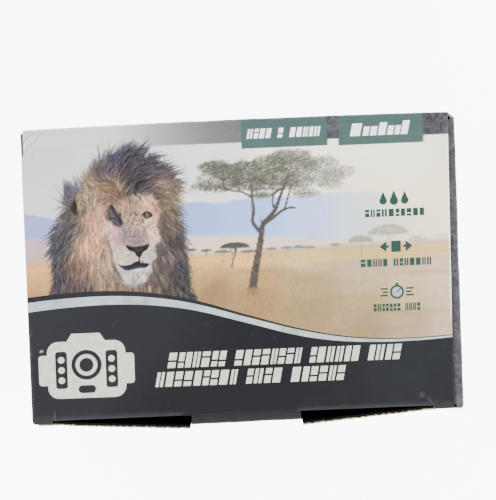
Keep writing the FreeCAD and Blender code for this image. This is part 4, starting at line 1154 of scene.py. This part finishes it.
def store_print(piece):
    """Give every point of a piece the picture's colour beneath it, and its share of camouflage."""
    places = np.array([v.co for v in piece.data.vertices]) / MM
    across = places[:, 0] + SKEW * (HINGE - places[:, 1]) - LID_MIDDLE
    colour, share = printed_at(across, places[:, 1])
    values = np.concatenate([linear(colour), share[:, None]], 1).astype(np.float32)
    made = piece.data.attributes.new("print", "FLOAT_COLOR", "POINT")
    made.data.foreach_set("color", values.ravel())


def build_hinge_crease():
    """The printed liner that runs over the fold between the back wall and the lid."""
    x = stations(LID_LEFT + CREASE_START, (LID_RIGHT - 0.2, 0.75))
    angle = np.linspace(0, math.pi / 2, 8)
    radius = 1.15
    wall_side = [(0.0, -d) for d in (2.4, 1.9, 1.5)]
    turn = [(-radius * (1 - math.cos(a)), radius * math.sin(a) - radius) for a in angle]
    groove_rows = [(-1.3, -0.12), (-1.5, -0.2), (-1.72, -0.1), (-2.1, 0.0)]
    profile = np.array(wall_side + turn + groove_rows)
    X, row = np.meshgrid(x, np.arange(len(profile)))
    bow = back_bow(X)
    Y = HINGE + bow + profile[row][..., 0] + 0.05
    on_lid = smooth(-profile[row][..., 0], 1.0, 2.0)
    Z = LID_TOP + profile[row][..., 1] + 0.04 + on_lid * lid_height(X, Y)
    Z = Z + 0.05 * lattice_noise(X, X * 0, 1.7, 95) * (1 - on_lid)
    points = np.stack([X, Y, Z], -1).reshape(-1, 3)
    quads = facing(points, grid_faces(*X.shape), np.array((0, 1, 1)))
    piece = new_piece("hinge_crease", points, quads, (PAINTED,))
    store_print(piece)
    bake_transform(piece)
    return piece


def build_tab(name, body):
    """A lock tab that hangs from the front crease, narrower at its foot."""
    low, high = limits(name)
    outer_end_left = low[0] < LID_MIDDLE
    taper_low, taper_high = (5.0, 2.5) if outer_end_left else (2.5, 5.0)
    depth = high[2] - low[2]
    u = np.linspace(0, 1, 25)
    v = np.concatenate([np.linspace(0, 0.85, 7), (0.92, 0.97, 1)])
    U, V = np.meshgrid(u, v)
    round_foot = 1.2 * (1 - smooth(V, 0, 0.12))
    left = low[0] + taper_low * (1 - V) + round_foot
    right = high[0] - taper_high * (1 - V) - round_foot
    X = left + (right - left) * U
    Z = low[2] + depth * V
    warp = 0.12 * np.sin(math.pi * U) * np.sin(math.pi * V)
    outside = askew(np.stack([X, low[1] - warp, Z], -1))
    inside = askew(np.stack([X, high[1] - warp, Z], -1))
    piece = slab(name + "_board", outside, inside, (CHARCOAL_BOARD, KRAFT, RAW_WAVY, RAW_PLAIN),
                 ("first_row",))
    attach(piece, body)
    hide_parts(name)
    return piece


# ---------------------------------------------------------------- flat print on the lid

def on_lid(outline, lift):
    """Points of an outline in artwork places, laid on the lid's face."""
    line = np.asarray(outline, float)
    x, y = onto_board(line[:, 0], line[:, 1])
    x = np.clip(x, 0.1 - EDGE, EDGE - 0.1) + LID_MIDDLE
    return askew(np.stack([x, y, LID_TOP + lid_height(x, y) + lift], 1))


PRINT_LIFT = 0.03


def flat_print(name, groups):
    """Flat ink shapes on the lid. Each group is a finish, a list of outlines and its extra lift."""
    points, faces, finish_of, finishes = [], [], [], []
    first = 0
    for finish_number, (ink_finish, outlines, extra) in enumerate(groups):
        finishes.append(ink_finish)
        for outline in outlines:
            corners = on_lid(outline, PRINT_LIFT + extra)
            area = np.cross(corners[:, :2], np.roll(corners[:, :2], -1, 0)).sum()
            order = np.arange(len(corners)) + first
            points.append(corners)
            faces.append((order if area > 0 else order[::-1]).tolist())
            finish_of.append(finish_number)
            first += len(corners)
    piece = new_piece(name, np.concatenate(points), faces, finishes, finish_of, False)
    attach(piece, "lid")
    return piece


def rectangle(x0, x1, y0, y1, slant=0.0):
    """A rectangle, or a block that leans to the right by this slope."""
    lean = slant * (y1 - y0)
    return [(x0, y0), (x1, y0), (x1 + lean, y1), (x0 + lean, y1)]


def rounded(x0, x1, y0, y1, r, steps=5):
    """A rectangle with round corners."""
    points = []
    for cx, cy, start in ((x1 - r, y0 + r, -90), (x1 - r, y1 - r, 0), (x0 + r, y1 - r, 90),
                          (x0 + r, y0 + r, 180)):
        for k in range(steps + 1):
            a = math.radians(start + 90 * k / steps)
            points.append((cx + r * math.cos(a), cy + r * math.sin(a)))
    return points


def disc(cx, cy, r, steps=40):
    return [(cx + r * math.cos(2 * math.pi * k / steps), cy + r * math.sin(2 * math.pi * k / steps))
            for k in range(steps)]


def dummy_words(counts, x0, x1, y0, y1, slant, seed, gap_share=0.24):
    """Blocks that stand for words, so that nothing can be read."""
    rng = np.random.default_rng(seed)
    letters = sum(counts)
    pitch = (x1 - x0 - slant * (y1 - y0)) / (letters + 0.9 * (len(counts) - 1))
    outlines = []
    x = x0
    for count in counts:
        widths = rng.uniform(0.8, 1.15, count)
        widths = widths / widths.sum() * count * pitch
        for width in widths:
            inner, tall = width * (1 - gap_share), y1 - y0
            kind = rng.integers(0, 3)
            if kind == 0:
                cut = y0 + tall * rng.uniform(0.35, 0.65)
                outlines.append(rectangle(x, x + inner, y0, cut - 0.06 * tall, slant))
                lean = slant * (cut + 0.06 * tall - y0)
                outlines.append(rectangle(x + lean, x + inner + lean, cut + 0.06 * tall, y1, slant))
            elif kind == 1:
                outlines.append(rectangle(x, x + 0.42 * inner, y0, y1, slant))
                outlines.append(rectangle(x + 0.6 * inner, x + inner, y0, y1, slant))
            else:
                outlines.append(rectangle(x, x + inner, y0, y1, slant))
            x += width
        x += 0.9 * pitch
    return outlines


def build_swoosh():
    """The dark line and the silver band that sweep across the lid above the charcoal panel."""
    x = np.linspace(-EDGE - 1, EDGE, 121)
    top = through(SWOOSH_TOP, x)
    middle = top - through(LINE_WIDTH, x)
    bottom = middle - through(BAND_WIDTH, x)
    points, faces, finish_of = [], [], []
    first = 0
    for number, (upper, lower) in enumerate(((top, middle), (middle, bottom))):
        rows = [lower + (upper - lower) * t for t in (0, 0.5, 1)]
        grid = np.concatenate([on_lid(np.stack([x, row], 1), PRINT_LIFT) for row in rows])
        quads = grid_faces(3, len(x))
        points.append(grid)
        faces.append(quads + first)
        finish_of += [number] * len(quads)
        first += len(grid)
    points = np.concatenate(points)
    piece = new_piece("lid_swoosh", points, np.concatenate(faces), (LINE_INK, SILVER_INK), finish_of)
    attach(piece, "lid")


def build_camera_mark():
    """A plain drawing of a trail camera, white on charcoal."""
    body = rounded(-69.5, -41.5, -43.2, -22.6, 4.0)
    lug_left = rounded(-72.6, -68.8, -38.4, -27.4, 1.2)
    lug_right = rounded(-42.2, -38.4, -38.4, -27.4, 1.2)
    hood = [(-62.5, -22.8), (-60.5, -19.8), (-50.5, -19.8), (-48.5, -22.8)]
    window_left = rounded(-66.6, -62.4, -39.6, -26.2, 1.0)
    window_right = rounded(-48.6, -44.4, -39.6, -26.2, 1.0)
    white = [body, lug_left, lug_right, hood]
    dark = [disc(-55.5, -31.2, 5.4), rounded(-58.6, -52.4, -41.4, -38.6, 1.3), window_left, window_right]
    light = [disc(-55.5, -31.2, 3.9)]
    light += [disc(x, y, 1.2, 20) for x in (-64.5, -46.5) for y in (-29.2, -32.9, -36.6)]
    core = [disc(-55.5, -31.2, 2.5)]
    groups = ((PALE_INK, white, 0.04), (LINE_INK, dark, 0.1), (PALE_INK, light, 0.16),
              (LINE_INK, core, 0.22))
    flat_print("lid_camera_mark", groups)


def build_badges():
    small = dummy_words((4, 1, 5), 3.8, 30.6, 47.2, 50.6, 0.2, 101)
    heavy = []
    x = 40.2
    for width, tall in ((4.4, 4.4), (2.6, 3.2), (2.8, 3.2), (3.2, 4.4), (2.6, 3.2), (2.2, 3.2), (3.0, 4.8)):
        heavy.append(rectangle(x, x + width * 0.8, 46.6, 46.6 + tall, 0.22))
        x += width
    for name, (x0, x1, y0, _), words in (("lid_badge_left", BADGES[0], small),
                                         ("lid_badge_right", BADGES[1], heavy)):
        ends = np.linspace(x0, x1, 13)
        tiles = [rectangle(a, b, c, c + 1.5) for a, b in zip(ends[:-1],
                                                             ends[1:]) for c in y0 + 1.5 * np.arange(5)]
        flat_print(name, ((BADGE_INK, tiles, 0.0), (BRIGHT_INK, words, 0.03)))


def drop(cx, cy, size):
    """A falling drop of water."""
    points = [(cx, cy + size)]
    for k in range(15):
        a = math.radians(40 - 260 * k / 14)
        points.append((cx + 0.52 * size * math.cos(a), cy - 0.3 * size + 0.52 * size * math.sin(a)))
    return points


def build_features():
    """Three green groups on the right: drops of water, a size mark and a stopwatch, each over a dummy line."""
    drops = [drop(51.4, 24.0, 2.6), drop(55.2, 24.0, 2.9), drop(59.0, 24.0, 2.6)]
    flat_print("lid_feature_water", ((GREEN_INK, drops + dummy_words((10,), 44.9, 66.3, 17.6, 20.3, 0.0,
                                                                     103), 0.0),))
    box = rectangle(53.9, 57.3, 4.9, 8.9)
    arrows = [[(49.8, 6.9), (52.2, 4.9), (52.2, 8.9)], [(61.4, 6.9), (59.0, 8.9), (59.0, 4.9)],
              rectangle(52.0, 53.0, 6.45, 7.35), rectangle(58.2, 59.2, 6.45, 7.35)]
    lines = dummy_words((5, 7), 43.0, 68.4, -0.1, 2.6, 0.0, 104)
    flat_print("lid_feature_size", ((GREEN_INK, [box, *arrows, *lines], 0.0),))
    face = disc(55.6, -9.4, 2.5)
    button = rectangle(55.1, 56.1, -6.9, -6.2)
    dashes = [rectangle(49.8, 52.4, -8.5, -7.9), rectangle(50.6, 52.4, -9.7, -9.1),
              rectangle(49.8, 52.4, -10.9, -10.3),
              rectangle(58.8, 61.6, -8.5, -7.9), rectangle(58.8, 60.8, -9.7, -9.1),
              rectangle(58.8, 61.6, -10.9, -10.3)]
    hand = [(55.35, -9.4), (55.6, -9.7), (57.1, -8.2), (56.85, -7.95)]
    lines = dummy_words((7, 4), 47.2, 64.1, -16.2, -13.5, 0.0, 105)
    flat_print("lid_feature_time", ((GREEN_INK, [face, button, *dashes, *lines], 0.0),
                                    (SILVER_INK, [disc(55.6, -9.4, 1.8)], 0.02), (GREEN_INK, [hand], 0.04)))


def build_headline():
    upper = dummy_words((7, 8, 6, 4), -26.7, 57.8, -33.6, -28.1, 0.2, 106)
    lower = dummy_words((9, 4, 6), -31.2, 37.7, -40.3, -35.0, 0.2, 107)
    flat_print("lid_headline", ((PALE_INK, upper + lower, 0.0),))


# ---------------------------------------------------------------- the folded tray

ROLL_RADII = (1.35, 0.08)
TRAY_HALF = 75.2
SLIT = 0.35
INNER_KRAFT, FREE_EDGE = 4, 5


def wall_bow(x, z):
    """How far the front wall's free edge stands out of its plane; at the corners it leans in instead."""
    depth = WALL_TOP - z
    left_reach = np.clip((x + 67.0) / (SPINE_LEFT + 67.0), 0, 1)
    right_reach = np.clip((66.0 - x) / (66.0 - SPINE_RIGHT), 0, 1)
    left_bow = -1.2 + 3.2 * left_reach**0.8
    right_bow = -1.5 + 3.8 * right_reach
    spread = 0.25 + 0.35 * depth
    left_side = smooth(SPINE_LEFT - SLIT - x, -spread * 0.2, spread)
    right_side = smooth(x - SPINE_RIGHT - SLIT, -spread * 0.2, spread)
    bow = 0.35 + (left_bow - 0.35) * left_side + (right_bow - 0.35) * right_side
    reach = np.where(bow > 0, 42.0, 7.0 + 9.0 * smooth(abs(x), 66.5, 70.0))
    rough = 0.08 * np.sin(2 * math.pi * x / FLUTE_PITCH) + 0.1 * lattice_noise(x, x * 0, 0.9, 96)
    free = np.maximum(left_side, right_side) * smooth(TRAY_HALF - abs(x), 7, 10)
    return bow * (1 - smooth(depth, 0, reach)) + rough * free * (1 - smooth(depth, 0, 0.6))


def fold(corner_y, corner_z, radius, start, end, steps=6):
    """Points and outward directions round a fold, angles in degrees from +Y towards +Z."""
    for k in range(steps + 1):
        a = math.radians(start + (end - start) * k / steps)
        yield corner_y, corner_z, math.cos(a), math.sin(a), radius


def build_tray():
    """Front wall, base and back wall: one strip of board, folded up twice."""
    r_out, r_in = BOARD_THICK + 0.2, 0.2
    heights = [WALL_TOP - drop for drop in (0, 0.25, 0.6, 1.2, 2.2, 4, 7, 12, 20, 32, 46)] + [8]
    rows = [(FRONT, z, -1.0, 0.0, 0.0) for z in heights]
    rows += fold(FRONT + r_out, r_out, r_out, 180, 270)
    rows += [(y, 0.0, 0.0, -1.0, 0.0) for y in np.linspace(FRONT + r_out + 4, HINGE - r_out - 4, 9)]
    rows += fold(HINGE - r_out, r_out, r_out, 270, 360)
    rows += [(HINGE, z, 1.0, 0.0, 0.0) for z in reversed(heights)]
    rows = np.array(rows)
    steps_off = (-1.2, -0.6, -0.3, -0.1, 0.05, 0.3, 0.8)
    near_spine = [SPINE_LEFT - SLIT + d for d in steps_off] + [SPINE_RIGHT + SLIT - d for d in steps_off]
    x = np.unique(np.round(np.concatenate([np.linspace(-1, 1, 252) * TRAY_HALF, near_spine]), 3))
    X, row = np.meshgrid(x, np.arange(len(rows)))
    cy, cz, ny, nz, r = (rows[row][..., k] for k in range(5))
    at_back = (ny > 0.5) & (r == 0)
    springs = 0.8 * smooth(cz, 60, WALL_TOP) * at_back
    X = X * (1 - springs / TRAY_HALF)
    at_front = (ny < -0.5) & (r == 0)
    out = wall_bow(X, cz) * at_front
    bulge = back_bow(X) * smooth(cz, 61, 67) * at_back * 0.9
    Y = cy + ny * r - out + bulge
    Z = cz + nz * r
    under_roll = smooth(X, SPINE_LEFT - 0.15, SPINE_LEFT + 0.1) * smooth(SPINE_RIGHT - X, -0.15,
                                                                         0.1) * at_front
    sunk = 1.9 * under_roll * smooth(cz, WALL_TOP - 4, WALL_TOP)
    outside = np.stack([X, Y, Z - sunk], -1)
    inner_r = np.where(r > 0, r_in, 0.0)
    depth = np.where(r > 0, 0.0, BOARD_THICK)
    inside = np.stack([X, cy + ny * inner_r - ny * depth - out + bulge,
                       cz + nz * inner_r - nz * depth - sunk], -1)
    piece = slab("tray_board", outside, inside, (CAMO, SLOT_SHADE, CAMO, RAW_PLAIN, KRAFT, SLOT_EDGE))
    inner_faces = (len(rows) - 1) * (len(x) - 1)
    index = np.zeros(len(piece.data.polygons), np.int32)
    piece.data.polygons.foreach_get("material_index", index)
    block = index[inner_faces:2 * inner_faces].reshape(len(rows) - 1, len(x) - 1)
    block[:] = INNER_KRAFT
    # The front wall's inner face gets the slots' painted shade.
    block[:len(heights)] = BACK_LINER
    index[inner_faces:2 * inner_faces] = block.ravel()
    index[2 * inner_faces:2 * inner_faces + len(x) - 1] = FREE_EDGE
    piece.data.polygons.foreach_set("material_index", index)
    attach(piece, "carton")
    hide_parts("base_panel", "back_wall", "front_wall_outer")
    return piece


def build_front_roll():
    """The board that rolls over from the outer front wall to the inner one, between the two slots."""
    out = FRONT - 0.4
    r_out, r_in = ROLL_RADII
    rows = [(out, WALL_TOP - 2.4, -1.0, 0.0, 0.0), (out, WALL_TOP - 1.9, -1.0, 0.0, 0.0)]
    rows += fold(out + r_out, WALL_TOP - r_out, r_out, 180, 90)
    rows += [(y, WALL_TOP, 0.0, 1.0, 0.0) for y in np.linspace(out + r_out + 0.3, ROOM_FRONT - r_out - 0.3,
                                                               5)]
    rows += fold(ROOM_FRONT - r_out, WALL_TOP - r_out, r_out, 90, 0)
    rows += [(ROOM_FRONT, WALL_TOP - 1.6, 1.0, 0.0, 0.0), (ROOM_FRONT, WALL_TOP - 1.9, 1.0, 0.0, 0.0)]
    rows = np.array(rows)
    x = np.linspace(SPINE_LEFT, SPINE_RIGHT, 48)
    X, row = np.meshgrid(x, np.arange(len(rows)))
    cy, cz, ny, nz, r = (rows[row][..., k] for k in range(5))
    share = (X - SPINE_LEFT) / (SPINE_RIGHT - SPINE_LEFT)
    way = smooth(-cy, 48, 53)
    bow = way * (0.35 * (1 - share)**2 + 0.1 * np.sin(math.pi * share) + 0.06 * lattice_noise(X, X * 0, 4.0,
                                                                                              97))
    sag = 0.12 * np.sin(math.pi * share) + 0.05 * lattice_noise(X, X * 0 + cy, 5.0, 98)
    inner_r = np.where(r > 0, r_in, 0.0)
    depth = np.where(r > 0, 0.0, BOARD_THICK)
    outside = np.stack([X, cy + ny * r - bow, cz + nz * r - sag], -1)
    inside = np.stack([X, cy + ny * inner_r - ny * depth - bow, cz + nz * inner_r - nz * depth - sag], -1)
    piece = slab("front_roll", outside, inside, (CHARCOAL_BOARD, KRAFT, RAW_WAVY, RAW_PLAIN))
    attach(piece, "carton")
    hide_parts("front_wall_spine")
    return piece


def side_lean(y, z, side):
    """How far a side wall's rolled top stands out along its length."""
    depth = WALL_TOP - z
    fade = 1 - smooth(depth, 0, 40)
    lean = -0.05 if side > 0 else 0.15 * smooth(y, 41, 46)
    return (lean + 0.08 * lattice_noise(y, y * 0, 5.0, 99)) * fade


def build_side(side):
    """A side wall: outer ply, rolled top and inner ply in one piece."""
    name = "right" if side > 0 else "left"
    outer, inner = SIDE, ROOM_SIDE
    r_out, r_in = ROLL_RADII
    r_foot = BOARD_THICK + 0.2
    rows = []
    for cx, cz, nx, nz, r in fold(outer - r_foot, r_foot, r_foot, 270, 360):
        rows.append((cx, cz, nx, nz, r, 0.2))
    for z in (8, 20, 34, 48, 58, 63, 66):
        rows.append((outer, z, 1.0, 0.0, 0.0, 0.0))
    for cx, cz, nx, nz, r in fold(outer - r_out, WALL_TOP - r_out, r_out, 0, 90):
        rows.append((cx, cz, nx, nz, r, r_in))
    rows.append(((outer + inner) / 2, WALL_TOP, 0.0, 1.0, 0.0, 0.0))
    for cx, cz, nx, nz, r in fold(inner + r_out, WALL_TOP - r_out, r_out, 90, 180):
        rows.append((cx, cz, nx, nz, r, r_in))
    for z in (64, 55, 40, 20, limits("right_wall_inner")[0][2]):
        rows.append((inner, z, -1.0, 0.0, 0.0, 0.0))
    rows = np.array(rows)
    t = np.concatenate([[0, 0.004, 0.012], np.linspace(0.02, 0.98, 61), [0.988, 0.996, 1]])
    T, row = np.meshgrid(t, np.arange(len(rows)))
    cx, cz, nx, nz, r, ri = (rows[row][..., k] for k in range(6))
    place = cx + nx * r
    on_top = smooth(cz, 52, WALL_TOP - 1)
    across = np.clip((place - inner) / (outer - inner), 0, 1)
    room_end = limits("right_wall_inner")[1][1]
    back = HINGE - on_top * (3.3 - 1.5 * across) * (side > 0) - on_top * 1.2 * (side < 0)
    front = FRONT + on_top * (1.9 - 0.6 * across)
    front = np.where(place < inner + 0.6, np.maximum(front, -room_end), front)
    back = np.where(place < inner + 0.6, np.minimum(back, room_end), back)
    Y = front + (back - front) * T
    corner = round_off((Y - front), 1.4) * smooth(place, outer - 2.2, outer) * on_top
    lean = side_lean(Y, cz, side) * smooth(place, inner + 0.5, outer - 0.6) - 0.6 * corner
    sag = 0.15 * np.sin(math.pi * T) * smooth(cz, 60, WALL_TOP) + 0.05 * lattice_noise(Y, Y * 0, 6.0, 100)
    sag = sag * smooth(cz, 60, WALL_TOP)
    depth = np.where(r > 0, 0.0, BOARD_THICK)
    inner_r = np.where(r > 0, ri, 0.0)
    outside = np.stack([side * (place + lean), Y, cz + nz * r - sag], -1)
    inside = np.stack([side * (cx + nx * inner_r - nx * depth + lean), Y,
                       cz + nz * inner_r - nz * depth - sag], -1)
    piece = slab(name + "_wall_board", outside, inside, (CAMO, KRAFT, RAW_WAVY, RAW_PLAIN),
                 ("first_column", "last_column"))
    index = np.zeros(len(piece.data.polygons), np.int32)
    piece.data.polygons.foreach_get("material_index", index)
    inside_turn = int(np.argmax(rows[:, 2] < -0.5)) - 1
    block = index[:(len(rows) - 1) * (len(t) - 1)].reshape(len(rows) - 1, -1)
    block[inside_turn + 2:] = BACK_LINER
    piece.data.polygons.foreach_set("material_index", index)
    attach(piece, "carton")
    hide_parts(name + "_wall_outer", name + "_wall_spine", name + "_wall_inner")
    return piece


def build_ear(name):
    """A corner ear, tucked between the plies of a side wall; its top slopes away towards its fold."""
    low, high = limits(name)
    side = 1 if low[0] > 0 else -1
    at_back = high[1] > 0
    u = np.linspace(0, 1, 24)
    v = np.linspace(0, 1, 14)
    U, V = np.meshgrid(u, v)
    Y = low[1] + (high[1] - low[1]) * U
    to_fold = (high[1] - Y) if at_back else (Y - low[1])
    top = high[2] - 0.3 - 7 * (1 - smooth(to_fold, 0.4, 5.5)) * (1 if at_back else 0.4)
    free_end = (Y - low[1]) if at_back else (high[1] - Y)
    top = top - 6 * (1 - smooth(free_end, 0, 9))
    Z = low[2] + (top - low[2]) * V
    outer_x, inner_x = (high[0], low[0]) if side > 0 else (low[0], high[0])
    outside = np.stack([np.full(Y.shape, outer_x - side * 0.06), Y, Z], -1)
    inside = np.stack([np.full(Y.shape, inner_x + side * 0.06), Y, Z], -1)
    piece = slab(name + "_board", outside, inside, BOARD, ("first_column", "last_column"))
    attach(piece, "carton")
    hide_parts(name)


def build_inner_front():
    """The inner front wall, inside the slots."""
    low, high = limits("front_wall_inner")
    u = np.linspace(0, 1, 60)
    v = np.linspace(0, 1, 20)
    U, V = np.meshgrid(u, v)
    X = low[0] + (high[0] - low[0]) * U
    under_roll = smooth(X, SPINE_LEFT - 0.4, SPINE_LEFT) * smooth(SPINE_RIGHT - X, -0.4, 0)
    top = high[2] - 0.4 - 1.4 * under_roll
    Z = low[2] + (top - low[2]) * V
    warp = 0.15 * np.sin(2 * math.pi * U) * np.sin(math.pi * V)
    outside = np.stack([X, low[1] + 0.03 + np.maximum(warp, 0), Z], -1)
    inside = np.stack([X, high[1] - 0.03 + np.maximum(warp, 0), Z], -1)
    # Its face towards the slots gets the slots' painted shade.
    piece = slab("front_inner_board", outside, inside, (SLOT_SHADE, KRAFT, RAW_WAVY, RAW_PLAIN))
    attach(piece, "carton")
    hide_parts("front_wall_inner")


# ---------------------------------------------------------------- what is packed inside

def slot_finishes():
    """A finish for each material slot of the CAD nodes that show as they are."""
    return {
        "kraft_board": KRAFT,
        "leaflet_paper": finish("paper_leaflet", ink(222, 221, 216), ink(236, 235, 231), 6.0, (0.6, 0.75),
                                0.3, 0.02),
        "case_plastic": finish("plastic_olive", ink(70, 80, 58), ink(84, 94, 70), 5.0, (0.5, 0.68), 0.45,
                               0.09),
        "black_plastic": finish("plastic_black", ink(28, 28, 29), ink(40, 40, 41), 3.0, (0.4, 0.58), 0.35,
                                0.05),
        "gasket_rubber": finish("rubber_black", ink(30, 30, 32), ink(42, 42, 44), 2.0, (0.65, 0.8), 0.3,
                                0.04),
        "steel": finish("steel_plated", ink(186, 186, 184), ink(208, 208, 205), 1.5, (0.22, 0.4), 0.25,
                        0.02, 1.0),
        "brass_socket": finish("brass_turned", ink(186, 152, 88), ink(210, 178, 112), 1.5, (0.22, 0.4),
                               0.25, 0.02, 1.0),
        "lens_glass": finish("glass_lens", ink(20, 26, 42), ink(38, 34, 62), 4.0, (0.03, 0.07), 0.8, 0.002),
        "sensor_lens": finish("fresnel_lens", ink(208, 212, 208), ink(226, 228, 224), 2.0, (0.35, 0.5), 0.8,
                              0.12),
        "dark_window": finish("acrylic_dark", ink(22, 14, 18), ink(34, 22, 28), 6.0, (0.06, 0.14), 1.2,
                              0.004),
        "led_plastic": finish("led_epoxy", ink(196, 200, 210), ink(214, 216, 224), 1.0, (0.08, 0.2), 0.5,
                              0.01),
        "circuit_board": finish("circuit_mask", ink(24, 82, 50), ink(36, 100, 62), 2.2, (0.3, 0.48), 0.3,
                                0.03),
    }


def dress_cad_nodes():
    """Give every CAD node that shows the finishes of its own material slots."""
    finishes = slot_finishes()
    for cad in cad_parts.values():
        if cad.hide_render:
            continue
        for number, old in enumerate(cad.data.materials):
            cad.data.materials[number] = finishes[old.name.split(".")[0]]


# ---------------------------------------------------------------- floor, light and camera

FLOOR_REACH, FLOOR_LEVEL = 3000, -0.3
FLOOR_GLOW = 8.0
WORLD_LIGHT = 1.6
KEY_LIGHT = 40.0
FILL_LIGHT = 14.0


def build_stage():
    """A white paper floor that glows, so that it shows near white."""
    made, tree, shader = blank("floor_paper", 0.9, specular=0.1)
    tone = remap(tree, noise(tree, 60.0), 0.3, 0.7)
    colour = mix(tree, tone, (0.93, 0.93, 0.93, 1), (0.95, 0.95, 0.95, 1))
    tree.links.new(colour, shader.inputs["Base Color"])
    tree.links.new(colour, shader.inputs["Emission Color"])
    shader.inputs["Emission Strength"].default_value = FLOOR_GLOW
    sides = ((-1, -1), (1, -1), (1, 1), (-1, 1))
    corners = [(FLOOR_REACH * x, FLOOR_REACH * y, FLOOR_LEVEL) for x, y in sides]
    floor = new_piece("floor", corners, [(0, 1, 2, 3)], (made,), smooth_shading=False)


def area_light(name, place, target, size, power, colour=(1, 1, 1)):
    data = bpy.data.lights.new(name, "AREA")
    data.shape = "DISK"
    data.size = size
    data.energy = power
    data.color = colour
    made = bpy.data.objects.new(name, data)
    made.location = place
    made.rotation_mode = "QUATERNION"
    made.rotation_quaternion = (Vector(target) - Vector(place)).to_track_quat("-Z", "Y")
    bpy.context.scene.collection.objects.link(made)


def build_lights():
    world = bpy.data.worlds.new("studio")
    world.use_nodes = True
    background = world.node_tree.nodes["Background"]
    background.inputs[0].default_value = (1, 1, 1, 1)
    background.inputs[1].default_value = WORLD_LIGHT
    bpy.context.scene.world = world
    area_light("key", (0.45, -0.8, 1.45), (0, 0, 0.05), 1.4, KEY_LIGHT, (1, 0.99, 0.975))
    area_light("fill", (-0.8, 0.8, 1.1), (0, 0, 0.05), 1.2, FILL_LIGHT, (0.97, 0.985, 1))


DISTANCE = 0.5
TARGET = (0.002, 0.0079, 0.070)
TILT_X, TILT_Y, TURN = 0.8, 4.0, 2.5
SEEN = 0.1762


def build_camera():
    """Looking straight down on the lid, a little from the right and from behind."""
    data = bpy.data.cameras.new("camera")
    data.lens = 36 * DISTANCE / SEEN
    camera = bpy.data.objects.new("camera", data)
    bpy.context.scene.collection.objects.link(camera)
    back = Vector((math.tan(math.radians(TILT_X)), math.tan(math.radians(TILT_Y)), 1)).normalized()
    hint = Vector((math.sin(math.radians(TURN)), math.cos(math.radians(TURN)), 0))
    right = hint.cross(back).normalized()
    up = back.cross(right)
    place = Vector(TARGET) + back * DISTANCE
    camera.matrix_world = Matrix(((right.x, up.x, back.x, place.x), (right.y, up.y, back.y, place.y),
                                  (right.z, up.z, back.z, place.z), (0, 0, 0, 1)))
    data.clip_start, data.clip_end = 0.01, 20
    bpy.context.scene.camera = camera


# ---------------------------------------------------------------- build it all

paint_picture()
build_lid()
build_hinge_crease()
build_tab("lock_tab_left", "tab_left")
build_tab("lock_tab_right", "tab_right")
build_swoosh()
build_camera_mark()
build_badges()
build_features()
build_headline()
build_tray()
build_front_roll()
build_side(1)
build_side(-1)
for ear in ("front_ear_left", "front_ear_right", "back_ear_left", "back_ear_right"):
    build_ear(ear)
build_inner_front()
dress_cad_nodes()
build_stage()
build_lights()
build_camera()
